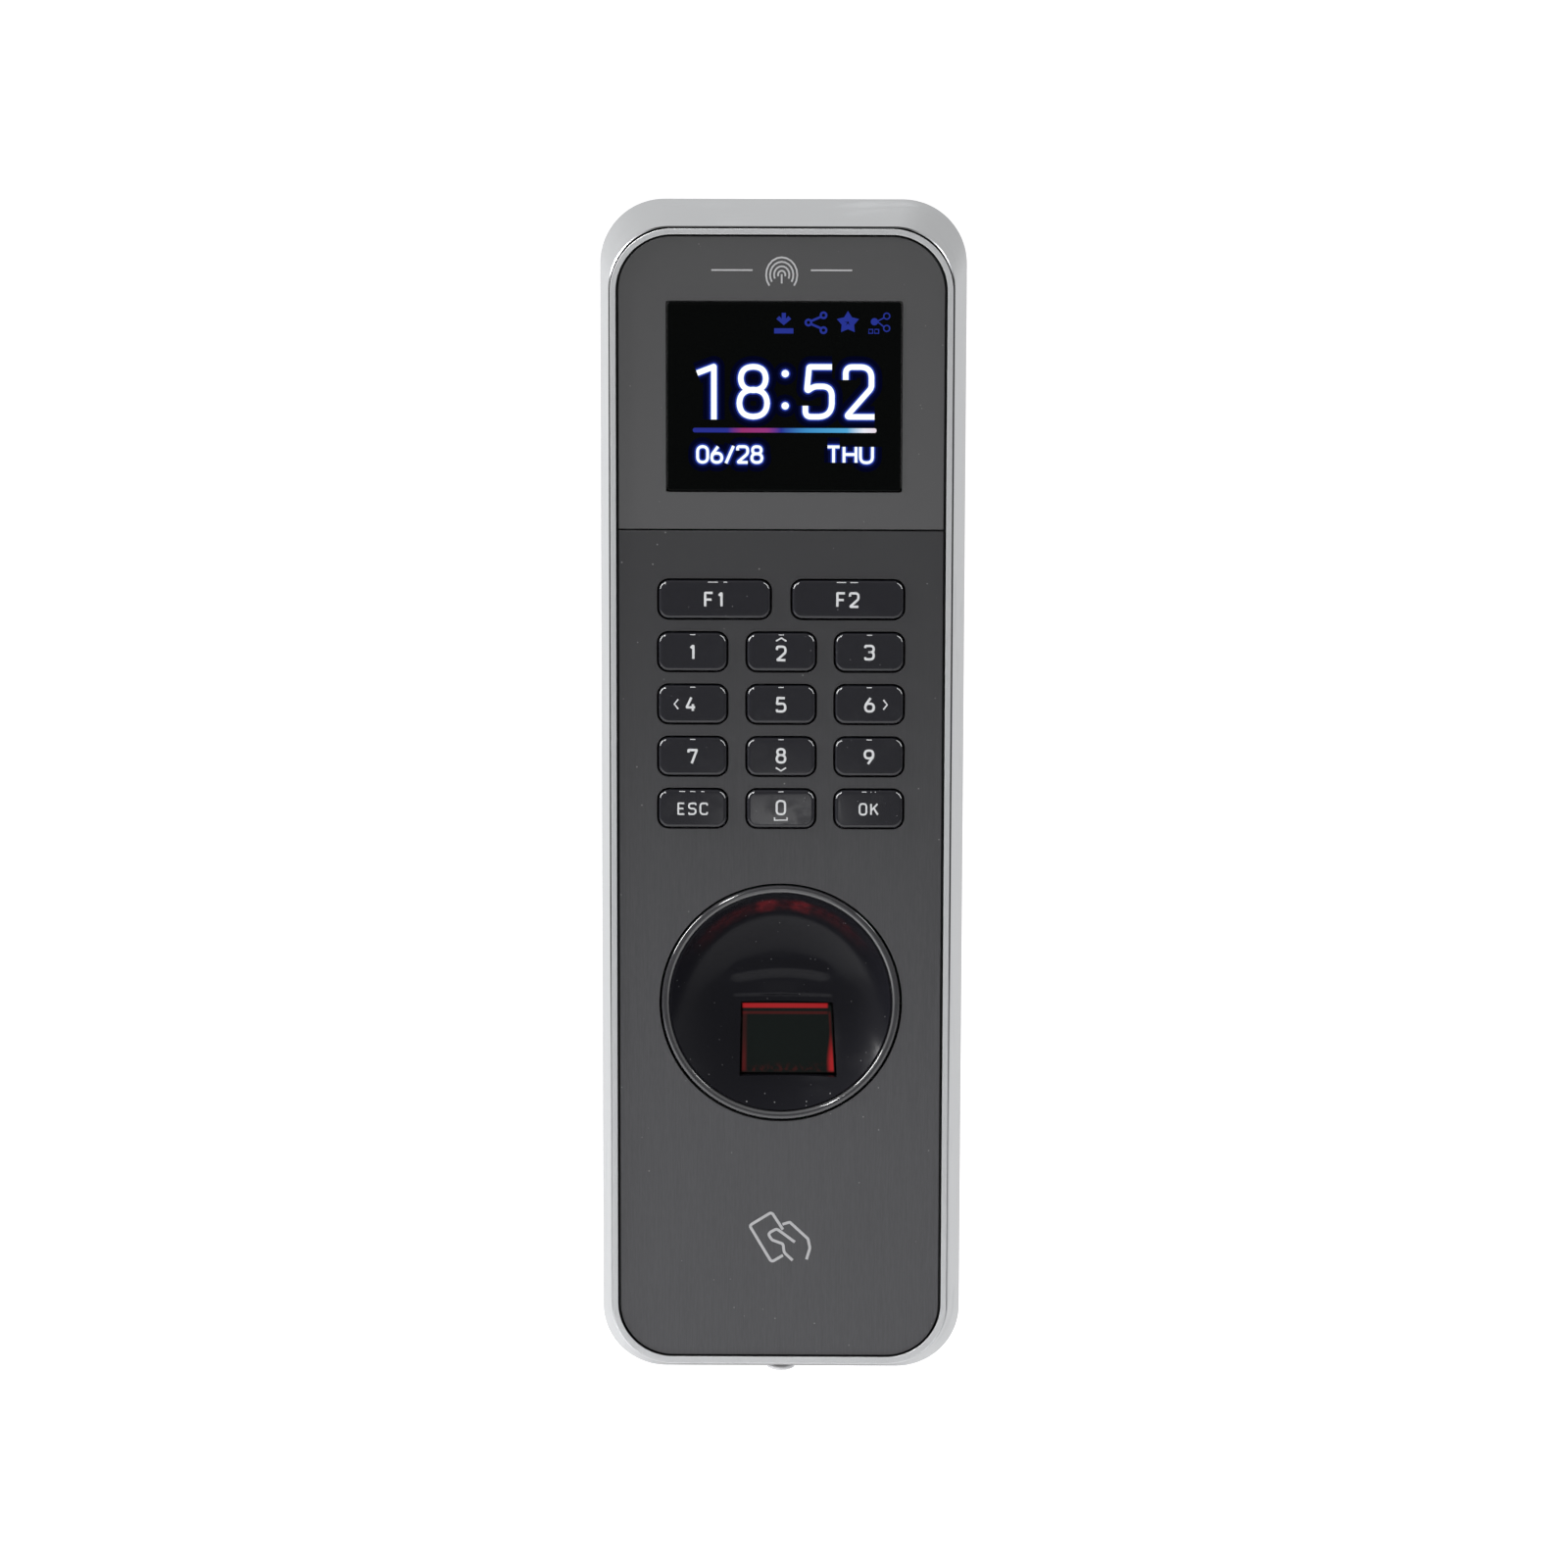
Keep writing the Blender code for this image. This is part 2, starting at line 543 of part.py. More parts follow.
def front_plates():
    inset = RING_WIDTH + GAP
    back = PLATE_FRONT + PLATE_THICKNESS
    screen_hole = centred_outline(SCREEN_CENTRE, (SCREEN_WIDTH, SCREEN_HEIGHT), SCREEN_RADIUS)
    panel = plate(body_outline(0, inset, bottom_cut=PLATE_SPLIT_Z + PLATE_SPLIT_GAP / 2),
                  [screen_hole], PLATE_FRONT, back)
    add_object("display_panel", panel, DARK_SATIN)

    holes = [centred_outline(place, size, KEY_RADIUS) for _, place, size in key_layout()]
    holes.append(circle_outline((SENSOR_X, SENSOR_Z), SENSOR_CUTOUT_RADIUS, steps=48))
    keypad = plate(body_outline(0, inset, top_cut=PLATE_SPLIT_Z - PLATE_SPLIT_GAP / 2), holes,
                   PLATE_FRONT, back)
    add_object("keypad_plate", keypad, DARK_BRUSHED)


# ---------------------------------------------------------------- display
def display_stack():
    size = (SCREEN_WIDTH, SCREEN_HEIGHT)
    flange_front = PLATE_FRONT + PLATE_THICKNESS + GAP
    flange_back = flange_front + WINDOW_FLANGE_THICKNESS
    inner = centred_outline(SCREEN_CENTRE, size, SCREEN_RADIUS + KEY_CLEARANCE, -KEY_CLEARANCE)
    face = centred_outline(SCREEN_CENTRE, size, SCREEN_RADIUS + SCREEN_CORNER_EASE,
                           -KEY_CLEARANCE - SMALL_EDGE)
    flange = centred_outline(SCREEN_CENTRE, size, SCREEN_RADIUS, WINDOW_FLANGE)
    window = ring_stack([(WINDOW_FRONT, face), (WINDOW_FRONT + SMALL_EDGE, inner),
                         (flange_front, inner), (flange_front, flange), (flange_back, flange)])
    add_object("display_window", window, SCREEN_BLACK)

    gasket = plate(centred_outline(SCREEN_CENTRE, size, SCREEN_RADIUS,
                                   WINDOW_FLANGE - GASKET_MARGIN),
                   [centred_outline(SCREEN_CENTRE, size, SCREEN_RADIUS, GASKET_MARGIN)],
                   flange_back + GAP, flange_back + GAP + GASKET_THICKNESS)
    add_object("display_gasket", gasket, RUBBER_GREY)

    lcd_front = TRAY_FLOOR_BACK + GAP
    centre_x = SCREEN_CENTRE[0] + LCD_SHIFT_X
    half_z = LCD_HEIGHT / 2
    outline = rounded_outline(centre_x - LCD_WIDTH / 2, centre_x + LCD_WIDTH / 2,
                              SCREEN_CENTRE[1] - half_z, SCREEN_CENTRE[1] + half_z, LCD_RADIUS,
                              steps=2)
    lcd = ring_stack([(lcd_front, outline), (lcd_front + LCD_THICKNESS, outline)])
    add_object("lcd_module", lcd, STEEL)


# ---------------------------------------------------------------- keypad
def key_layout():
    """(name, (x, z) of its centre, size of its cut-out) of every key, from the top row down."""
    keys = [(f"key_f{number + 1}", (x, KEY_TOP_ROW_Z), FUNCTION_CUTOUT)
            for number, x in enumerate(FUNCTION_COLUMNS)]
    for row, labels in enumerate(DIGIT_ROWS):
        z = KEY_TOP_ROW_Z - (row + 1) * KEY_PITCH_Z
        keys += [(f"key_{label}", (x, z), KEY_CUTOUT) for label, x in zip(labels, KEY_COLUMNS)]
    return keys


def keys():
    """Hard clear caps, each on its own slide into the terminal, kept in by a flange."""
    flange_front = PLATE_FRONT + PLATE_THICKNESS + GAP
    flange_back = flange_front + KEY_FLANGE_THICKNESS
    for name, place, size in key_layout():
        def outline(grow):
            return centred_outline(place, size, KEY_RADIUS, grow - KEY_CLEARANCE)
        bm = ring_stack([
            (0.0, outline(-KEY_BEVEL)),
            (KEY_CROWN, outline(-KEY_BEVEL * KEY_CROWN_SHARE)),
            (KEY_BEVEL, outline(0.0)),
            (flange_front, outline(0.0)),
            (flange_front, outline(KEY_FLANGE)),
            (flange_back, outline(KEY_FLANGE)),
        ])
        slide = bpy.data.objects.new(name + "_slide", None)
        slide.location = (place[0], y_at(0.0), place[1])
        bpy.context.collection.objects.link(slide)
        key = add_object(name, bm, GLOSS_BLACK, origin=slide.location, parent=slide, smooth=True)
        key.location = (0.0, 0.0, 0.0)


def keypad_layers():
    dome_front = TRAY_FLOOR_FRONT + KEY_FLANGE_THICKNESS + KEY_TRAVEL + GAP
    domes = [(centred_outline(place, (size[0] - DOME_MARGIN[0], size[1] - DOME_MARGIN[1]),
                              DOME_RADIUS, steps=2), dome_front)
             for _, place, size in key_layout()]
    mat = plate(rounded_outline(*MAT_OUTLINE, SHEET_RADIUS, steps=2), [], MAT_BASE_FRONT,
                MAT_BASE_BACK, pads=domes)
    add_object("keypad_mat", mat, RUBBER_GREY)
    board = plate(rounded_outline(*KEYPAD_BOARD_OUTLINE, SHEET_RADIUS, steps=2), [],
                  KEYPAD_BOARD_FRONT, KEYPAD_BOARD_BACK)
    add_object("keypad_board", board, BOARD_GREEN)


# ---------------------------------------------------------------- finger sensor
def bowl_depth(x, z):
    """Depth of the finger bowl's surface: steep at the top, a gentle slope up at the bottom."""
    share = min(math.hypot(x, z) / BOWL_RADIUS, 1.0)
    angle = math.atan2(z, x)
    power = BOWL_POWER + BOWL_POWER_SWING * math.sin(angle)
    return PLATE_FRONT + BOWL_DEPTH * (1.0 - share ** power)


def glass_outline(grow):
    top = GLASS_TOP_WIDTH / 2 + grow
    bottom = GLASS_BOTTOM_WIDTH / 2 + grow
    z_top = SENSOR_Z + GLASS_TOP + grow
    z_bottom = SENSOR_Z + GLASS_BOTTOM - grow
    x = SENSOR_X + GLASS_SHIFT_X
    return [(x + top, z_top), (x - top, z_top), (x - bottom, z_bottom), (x + bottom, z_bottom)]


def bowl_sheet(bm, offset, radii):
    rings = []
    for radius in radii:
        ring = []
        for x, z in circle_outline((0.0, 0.0), radius, BOWL_STEPS):
            depth = bowl_depth(x, z) + offset
            ring.append(bm.verts.new((SENSOR_X + x, y_at(depth), SENSOR_Z + z)))
        rings.append(ring)
    centre = bm.verts.new((SENSOR_X, y_at(bowl_depth(0.0, 0.0) + offset), SENSOR_Z))
    for near, far in zip(rings, rings[1:]):
        for i in range(BOWL_STEPS):
            bm.faces.new((near[i - 1], near[i], far[i], far[i - 1]))
    for i in range(BOWL_STEPS):
        bm.faces.new((rings[-1][i - 1], rings[-1][i], centre))
    return rings[0]


def sensor_bowl():
    bm = bmesh.new()
    radii = [BOWL_RADIUS * math.sin(math.pi / 2 * (1 - step / BOWL_RINGS))
             for step in range(BOWL_RINGS)]
    front_rim = bowl_sheet(bm, 0.0, radii)
    back_radii = [min(radius, BOWL_RADIUS * BOWL_BACK_SHARE) for radius in radii]
    back_rim = bowl_sheet(bm, BOWL_WALL + OVERLAP, back_radii)
    for v in back_rim:
        v.co.y = max(v.co.y, y_at(BOWL_FLANGE_BACK))

    def ring(radius, depth):
        return [bm.verts.new((x, y_at(depth), z))
                for x, z in circle_outline((SENSOR_X, SENSOR_Z), radius, BOWL_STEPS)]
    outer = [
        front_rim,
        ring(BOWL_RADIUS, BOWL_FLANGE_FRONT),
        ring(BOWL_FLANGE_RADIUS, BOWL_FLANGE_FRONT),
        ring(BOWL_FLANGE_RADIUS, BOWL_FLANGE_BACK),
        back_rim,
    ]
    for near, far in zip(outer, outer[1:]):
        for i in range(BOWL_STEPS):
            bm.faces.new((near[i - 1], near[i], far[i], far[i - 1]))
    bowl = add_object("sensor_bowl", finish_solid(bm), GLOSS_BLACK, smooth=True)
    opening = ring_stack([(depth, glass_outline(GAP)) for depth in GLASS_OPENING])
    combine(bowl, add_tool("sensor_opening", opening), "DIFFERENCE")


def sensor_parts():
    outer_edge = LIGHT_RING_OUTER - SMALL_EDGE
    inner_edge = LIGHT_RING_INNER + SMALL_EDGE
    light_ring = turned([
        (LIGHT_RING_INNER, TRAY_FLOOR_BACK), (LIGHT_RING_OUTER, TRAY_FLOOR_BACK),
        (LIGHT_RING_OUTER, PLATE_FRONT), (outer_edge, PLATE_FRONT - SMALL_EDGE),
        (inner_edge, PLATE_FRONT - SMALL_EDGE), (LIGHT_RING_INNER, PLATE_FRONT),
    ], (SENSOR_X, SENSOR_Z), steps=48)
    add_object("status_light_ring", light_ring, CLEAR_LENS, smooth=True)

    glass = ring_stack([(GLASS_BACK - GLASS_EDGE, glass_outline(0.0)),
                        (GLASS_BACK, glass_outline(0.0))])
    glass.verts.ensure_lookup_table()
    for v in glass.verts:
        if v.co.y < y_at(GLASS_BACK - GLASS_EDGE / 2):
            v.co.y = y_at(bowl_depth(0.0, v.co.z - SENSOR_Z) + GLASS_RECESS)
    add_object("sensor_glass", glass, SENSOR_GLASS)

    module_x = SENSOR_X + GLASS_SHIFT_X
    module = block(module_x - MODULE_HALF_WIDTH, module_x + MODULE_HALF_WIDTH,
                   SENSOR_Z + MODULE_SPAN[0], SENSOR_Z + MODULE_SPAN[1],
                   GLASS_BACK + GAP, SENSOR_MODULE_BACK)
    add_object("sensor_module", module, BLACK_PLASTIC)
    board = block(module_x - SENSOR_BOARD_HALF_WIDTH, module_x + SENSOR_BOARD_HALF_WIDTH,
                  SENSOR_Z + SENSOR_BOARD_SPAN[0], SENSOR_Z + SENSOR_BOARD_SPAN[1],
                  SENSOR_MODULE_BACK + GAP, SENSOR_BOARD_BACK)
    add_object("sensor_board", board, BOARD_GREEN)


# ---------------------------------------------------------------- boards
def boards():
    antenna_front = TRAY_FLOOR_BACK + GAP
    antenna = plate(rounded_outline(*ANTENNA_OUTLINE, SHEET_RADIUS, steps=2),
                    [rounded_outline(*ANTENNA_WINDOW, SHEET_RADIUS, steps=2)],
                    antenna_front, antenna_front + ANTENNA_THICKNESS)
    add_object("card_antenna_board", antenna, BOARD_GREEN)
    holes = [circle_outline(place, SCREW_BORE, 12) for place in POST_PLACES]
    main = plate(rounded_outline(-MAIN_BOARD_HALF_WIDTH, MAIN_BOARD_HALF_WIDTH, MAIN_BOARD_BOTTOM,
                                 MAIN_BOARD_TOP, MAIN_BOARD_RADIUS, steps=2), holes,
                 MAIN_BOARD_FRONT, MAIN_BOARD_BACK)
    add_object("main_board", main, BOARD_GREEN)
    buzzer_back = MAIN_BOARD_FRONT - GAP
    buzzer_front = buzzer_back - BUZZER_HEIGHT
    buzzer = turned([(0, buzzer_front), (BUZZER_RADIUS, buzzer_front),
                     (BUZZER_RADIUS, buzzer_back), (0, buzzer_back)], BUZZER_PLACE)
    add_object("buzzer", buzzer, BLACK_PLASTIC, smooth=True)

    cell_front = ON_BOARD + CELL_HOLDER_FLOOR
    rim = cell_front + CELL_HOLDER_RIM
    cup_inner = CELL_RADIUS + GAP
    cup = turned([(0, ON_BOARD), (CELL_HOLDER_RADIUS, ON_BOARD), (CELL_HOLDER_RADIUS, rim),
                  (cup_inner, rim), (cup_inner, cell_front - GAP), (0, cell_front - GAP)],
                 CELL_PLACE, steps=CELL_STEPS)
    add_object("battery_holder", cup, BLACK_PLASTIC, smooth=True)
    cell_back = cell_front + CELL_THICKNESS
    cell = turned([(0, cell_front), (CELL_RADIUS, cell_front), (CELL_RADIUS, cell_back),
                   (0, cell_back)], CELL_PLACE, steps=CELL_STEPS)
    add_object("coin_cell", cell, STEEL, smooth=True)


def connectors():
    jack = add_object("network_socket", block(*JACK, ON_BOARD, JACK_BACK), STEEL)
    cavity = block(*JACK_CAVITY, JACK_CAVITY_FRONT, JACK_BACK + OVERLAP)
    combine(jack, add_tool("network_socket_cavity", cavity), "DIFFERENCE")

    back = TERMINAL_BACK + OVERLAP
    for name, ways, z0 in TERMINALS:
        z1 = z0 + TERMINAL_HEIGHT
        body = block(TERMINAL_LEFT, TERMINAL_LEFT + ways * TERMINAL_PITCH, z0, z1, ON_BOARD,
                     TERMINAL_BACK)
        terminal = add_object(name, body, TERMINAL_GREEN)
        holes = []
        for way in range(ways):
            x = TERMINAL_LEFT + TERMINAL_PITCH * (way + 0.5)
            foot = z0 + WIRE_HOLE_LIFT
            holes.append(block(x - WIRE_HOLE_HALF, x + WIRE_HOLE_HALF, foot,
                               foot + 2 * WIRE_HOLE_HALF, WIRE_HOLE_FRONT, back))
            holes.append(turned([(0, CLAMP_HOLE_FRONT), (CLAMP_HOLE_RADIUS, CLAMP_HOLE_FRONT),
                                 (CLAMP_HOLE_RADIUS, back), (0, back)],
                                (x, z1 - CLAMP_HOLE_DROP), 12))
        combine(terminal, add_tool(name + "_holes", joined(holes)), "DIFFERENCE")


def flat_cable(name, x, width, route):
    """Thin ribbon of constant width; route is (z, depth) points along its middle."""
    half = RIBBON_HALF_THICKNESS
    upper = []
    lower = []
    for i, (z, depth) in enumerate(route):
        before = route[max(i - 1, 0)]
        after = route[min(i + 1, len(route) - 1)]
        along = Vector((after[0] - before[0], after[1] - before[1])).normalized()
        upper.append((z - along.y * half, depth + along.x * half))
        lower.append((z + along.y * half, depth - along.x * half))
    loop = upper + lower[::-1]
    bm = bmesh.new()
    left = [bm.verts.new((x - width / 2, y_at(depth), z)) for z, depth in loop]
    right = [bm.verts.new((x + width / 2, y_at(depth), z)) for z, depth in loop]
    count = len(route)
    for side in (left, right):
        for i in range(count - 1):
            bm.faces.new((side[i], side[i + 1], side[-2 - i], side[-1 - i]))
    for i in range(len(loop)):
        bm.faces.new((left[i - 1], left[i], right[i], right[i - 1]))
    add_object(name, finish_solid(bm), CABLE_WHITE)


def flat_cables():
    """Ribbons from the display, the keypad and the sensor to the front of the main board."""
    board_gap = MAIN_BOARD_FRONT - GAP - RIBBON_HALF_THICKNESS
    runs = (
        ("display_cable", 0.0100, 0.0100, 0.0600, TRAY_FLOOR_BACK + LCD_THICKNESS + 3 * GAP, 0.0480),
        ("keypad_cable", 0.0000, 0.0080, 0.0200, KEYPAD_BOARD_BACK + 2 * GAP, 0.0300),
        ("sensor_cable", -0.0060, 0.0060, SENSOR_Z + 0.0045, SENSOR_BOARD_BACK + 2 * GAP, -0.0100),
    )
    for name, x, width, z_start, depth_start, z_end in runs:
        route = []
        for step in range(RIBBON_STEPS + 1):
            share = step / RIBBON_STEPS
            blend = share * share * (3 - 2 * share)
            route.append((z_start + (z_end - z_start) * share,
                          depth_start + (board_gap - depth_start) * blend))
        flat_cable(name, x, width, route)


# ---------------------------------------------------------------- rear
def screw(name, place, head_front, tip):
    """Pan-head screw along the depth axis, driven from the rear; the tip is the far end."""
    crown = head_front + SCREW_HEAD_HEIGHT
    bm = turned([(0, tip), (SCREW_SHANK * 0.6, tip), (SCREW_SHANK, tip + SCREW_TIP),
                 (SCREW_SHANK, head_front), (SCREW_HEAD, head_front),
                 (SCREW_HEAD, crown - SCREW_CROWN), (SCREW_HEAD * 0.75, crown), (0, crown)],
                place, steps=16)
    add_object(name, bm, STEEL, smooth=True)


def screws():
    for number, place in enumerate(cover_screw_places(), start=1):
        screw(f"cover_screw_{number}", place, COVER_BACK + GAP, LEDGE_FRONT - COVER_SCREW_REACH)
    for number, place in enumerate(POST_PLACES, start=1):
        screw(f"board_screw_{number}", place, MAIN_BOARD_BACK + GAP, BOARD_SCREW_TIP)
    for name, place in FRAME_SCREWS:
        screw(name, place, LUG_BACK + GAP, FRAME_SCREW_TIP)


def tamper_button():
    x, z = TAMPER_PLACE
    body_back = COVER_FRONT - TAMPER_BODY_SHORT
    body = block(x - TAMPER_BODY_HALF, x + TAMPER_BODY_HALF, z - TAMPER_BODY_HALF,
                 z + TAMPER_BODY_HALF, ON_BOARD, body_back)
    switch = add_object("tamper_switch", body, BLACK_PLASTIC)
    bore = turned([(0, TAMPER_BORE_FRONT), (TAMPER_BORE, TAMPER_BORE_FRONT),
                   (TAMPER_BORE, body_back + OVERLAP), (0, body_back + OVERLAP)],
                  TAMPER_PLACE, 16)
    combine(switch, add_tool("tamper_bore", bore), "DIFFERENCE")

    inner_end = TAMPER_BORE_FRONT + GAP + TAMPER_TRAVEL
    tip = BRACKET_FRONT - GAP
    bm = turned([(0, inner_end), (PLUNGER_RADIUS, inner_end), (PLUNGER_RADIUS, tip - PLUNGER_TIP),
                 (PLUNGER_TIP_RADIUS, tip), (0, tip)], TAMPER_PLACE, 16)
    slide = bpy.data.objects.new("tamper_slide", None)
    slide.location = (TAMPER_PLACE[0], y_at(tip), TAMPER_PLACE[1])
    bpy.context.collection.objects.link(slide)
    plunger = add_object("tamper_plunger", bm, BLACK_PLASTIC, origin=slide.location, parent=slide,
                         smooth=True)
    plunger.location = (0.0, 0.0, 0.0)


def rear_cover():
    screw_holes = [circle_outline(place, SCREW_BORE, 12) for place in cover_screw_places()]
    window = rounded_outline(*COVER_WINDOW, COVER_WINDOW_RADIUS, steps=2)
    plunger_hole = circle_outline(TAMPER_PLACE, COVER_PLUNGER_HOLE, 12)
    cover = plate(body_outline(COVER_FRONT, RECESS_WALL + GAP),
                  [*screw_holes, window, plunger_hole], COVER_FRONT, COVER_BACK)
    add_object("rear_cover", cover, BLACK_PLASTIC)
    seal_inset = RECESS_WALL + OVERLAP
    seal = plate(body_outline(SEAL_FRONT, seal_inset),
                 [body_outline(SEAL_FRONT, seal_inset + SEAL_WIDTH)], SEAL_FRONT, SEAL_BACK)
    add_object("rear_seal", seal, RUBBER_GREY)


def wall_bracket():
    """Steel plate on the wall: the housing hooks over its top lip and a screw locks its bottom tab."""
    places = [(0.0, z) for z in BOX_SCREW_ROWS] + list(WALL_SCREW_PLACES)
    holes = [circle_outline(place, WALL_SCREW_RADIUS, 16) for place in places]
    holes.append(rounded_outline(*BRACKET_WINDOW, BRACKET_WINDOW_RADIUS, steps=3))
    outline = rounded_outline(-BRACKET_HALF_WIDTH, BRACKET_HALF_WIDTH, BRACKET_BOTTOM, BRACKET_TOP,
                              BRACKET_RADIUS, steps=3)
    bracket = add_object("wall_bracket", plate(outline, holes, BRACKET_FRONT, FACE_DEPTH),
                         ZINC_STEEL)
    overlap = 2 * OVERLAP
    flange = block(-LIP_HALF_WIDTH, LIP_HALF_WIDTH, BRACKET_TOP - BRACKET_SHEET, BRACKET_TOP,
                   LIP_FRONT, BRACKET_FRONT + overlap)
    combine(bracket, add_tool("bracket_flange", flange), "UNION")
    lip = block(-LIP_HALF_WIDTH, LIP_HALF_WIDTH, BRACKET_TOP - overlap, LIP_TOP, LIP_FRONT,
                LIP_FRONT + BRACKET_SHEET)
    combine(bracket, add_tool("bracket_lip", lip), "UNION")
    tab = block(-TAB_HALF_WIDTH, TAB_HALF_WIDTH, BRACKET_BOTTOM, BRACKET_BOTTOM + BRACKET_SHEET,
                TAB_FRONT, BRACKET_FRONT + overlap)
    combine(bracket, add_tool("bracket_tab", tab), "UNION")
    bore_length = 0.0040
    tab_bore = turned([(0, 0), (LOCK_BORE_SHANK, 0), (LOCK_BORE_SHANK, bore_length),
                       (0, bore_length)], (0.0, 0.0), 16)
    tab_bore = turned_to_z(tab_bore, BRACKET_BOTTOM - BRACKET_SHEET + SMALL_EDGE / 2)
    combine(bracket, add_tool("bracket_tab_bore", tab_bore), "DIFFERENCE")

    taper = LOCK_SCREW_LENGTH - GAP
    lock = turned([(0, 0), (LOCK_SCREW_HEAD - OVERLAP, 0), (LOCK_SCREW_HEAD, GAP),
                   (LOCK_SCREW_HEAD, LOCK_SCREW_HEAD_HEIGHT),
                   (LOCK_SCREW_SHANK, LOCK_SCREW_HEAD_HEIGHT), (LOCK_SCREW_SHANK, taper),
                   (0, LOCK_SCREW_LENGTH)], (0.0, 0.0), 16)
    add_object("bracket_lock_screw", turned_to_z(lock, LOCK_SCREW_START), STEEL, smooth=True)


def build():
    for obj in list(bpy.data.objects):
        bpy.data.objects.remove(obj)
    main_housing()
    front_frame()
    front_plates()
    display_stack()
    keys()
    keypad_layers()
    sensor_bowl()
    sensor_parts()
    boards()
    connectors()
    flat_cables()
    screws()
    tamper_button()
    rear_cover()
    wall_bracket()


build()
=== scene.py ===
import math

import bmesh
import bpy
from mathutils import Matrix, Vector


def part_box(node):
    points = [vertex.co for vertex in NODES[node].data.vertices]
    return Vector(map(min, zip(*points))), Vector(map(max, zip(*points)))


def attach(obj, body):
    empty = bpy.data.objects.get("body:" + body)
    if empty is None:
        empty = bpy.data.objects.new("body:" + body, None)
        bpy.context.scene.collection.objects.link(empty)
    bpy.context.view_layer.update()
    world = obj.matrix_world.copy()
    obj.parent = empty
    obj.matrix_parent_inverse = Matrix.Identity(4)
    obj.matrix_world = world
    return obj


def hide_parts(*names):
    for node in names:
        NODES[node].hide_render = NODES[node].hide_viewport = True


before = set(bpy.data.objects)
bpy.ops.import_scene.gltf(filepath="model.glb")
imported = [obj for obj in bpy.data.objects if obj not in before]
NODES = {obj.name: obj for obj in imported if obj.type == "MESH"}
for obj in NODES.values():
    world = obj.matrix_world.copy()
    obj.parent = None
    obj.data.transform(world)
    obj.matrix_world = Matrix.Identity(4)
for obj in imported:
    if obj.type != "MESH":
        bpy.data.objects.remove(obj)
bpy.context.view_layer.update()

bl_info = {
    "name": "Fingerprint scanner terminal",
    "version": (1, 0, 0),
    "blender": (4, 5, 0),
    "location": "3D View > Sidebar > Terminal",
    "description": "Builds the visible pieces and finishes of a wall-mounted fingerprint terminal",
    "category": "Object",
}

MM = 0.001
FRONT_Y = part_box("front_frame")[0].y
TERMINAL = "terminal"
KEY_LABELS = ("f1", "f2", "1", "2", "3", "4", "5", "6", "7", "8", "9", "esc", "0", "ok")


def at_depth(depth):
    """World y of a depth behind the front of the silver ring."""
    return FRONT_Y + depth


def face_box(node, shrink=0.0):
    """(x0, x1, z0, z1) of a CAD node, moved in on every side."""
    low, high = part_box(node)
    return moved_in((low.x, high.x, low.z, high.z), shrink)


def moved_in(box, width):
    return (box[0] + width, box[1] - width, box[2] + width, box[3] - width)


def middle(box):
    return ((box[0] + box[1]) / 2, (box[2] + box[3]) / 2)


RECESS = middle(face_box("status_light_ring"))
BOWL_RADIUS = 16.85 * MM
RECESS_HOLE_RADIUS = 18.66 * MM


# ------------------------------------------------------------------ settings
class TerminalSizes(bpy.types.PropertyGroup):
    ring_radius: bpy.props.FloatProperty(
        name="Ring corner", description="Outer corner radius of the silver ring",
        default=9.4 * MM, unit="LENGTH")
    ring_width: bpy.props.FloatProperty(
        name="Ring width", description="Width of the silver ring seen from the front",
        default=0.84 * MM, unit="LENGTH")
    rear_radius: bpy.props.FloatProperty(
        name="Rear corner", description="Corner radius of the housing at the wall",
        default=10.2 * MM, unit="LENGTH")
    housing_edge: bpy.props.FloatProperty(
        name="Housing edge", description="Rounding of the housing's rear edges",
        default=0.3 * MM, unit="LENGTH")
    rim_chamfer: bpy.props.FloatProperty(
        name="Rim chamfer", description="Width of the bright cut on the housing's front rim",
        default=0.18 * MM, unit="LENGTH")
    plate_edge: bpy.props.FloatProperty(
        name="Plate edge", description="Rounding of the dark plates' edges",
        default=0.09 * MM, unit="LENGTH")
    key_radius: bpy.props.FloatProperty(
        name="Key corner", description="Corner radius of a key cap",
        default=1.55 * MM, unit="LENGTH")
    legend_height: bpy.props.FloatProperty(
        name="Legend height", description="Height of a key's number",
        default=2.42 * MM, unit="LENGTH")
    legend_stroke: bpy.props.FloatProperty(
        name="Legend stroke", description="Width of the legends' strokes",
        default=0.36 * MM, unit="LENGTH")
    bowl_depth: bpy.props.FloatProperty(
        name="Bowl depth", description="Depth of the finger recess at its middle",
        default=6.8 * MM, unit="LENGTH")


class TerminalColours(bpy.types.PropertyGroup):
    housing: bpy.props.FloatVectorProperty(
        name="Housing", description="Silver paint of the housing", subtype="COLOR", size=3,
        default=(0.52, 0.53, 0.54))
    ring: bpy.props.FloatVectorProperty(
        name="Ring", description="Satin silver of the front ring", subtype="COLOR", size=3,
        default=(0.72, 0.73, 0.74))
    plate: bpy.props.FloatVectorProperty(
        name="Keypad plate", description="Dark brushed metal", subtype="COLOR", size=3,
        default=(0.098, 0.098, 0.103))
    panel: bpy.props.FloatVectorProperty(
        name="Display panel", description="Dark satin panel", subtype="COLOR", size=3,
        default=(0.088, 0.088, 0.090))
    # the legend colour also paints the keys' glints and corner highlights
    legend: bpy.props.FloatVectorProperty(
        name="Legends", description="White print on the keys", subtype="COLOR", size=3,
        default=(0.68, 0.69, 0.70))
    glow: bpy.props.FloatVectorProperty(
        name="Sensor light", description="Red light of the finger sensor", subtype="COLOR", size=3,
        default=(0.36, 0.010, 0.014))
    display: bpy.props.FloatVectorProperty(
        name="Display glow", description="Blue light round the display's figures", subtype="COLOR",
        size=3, default=(0.020, 0.035, 0.30))


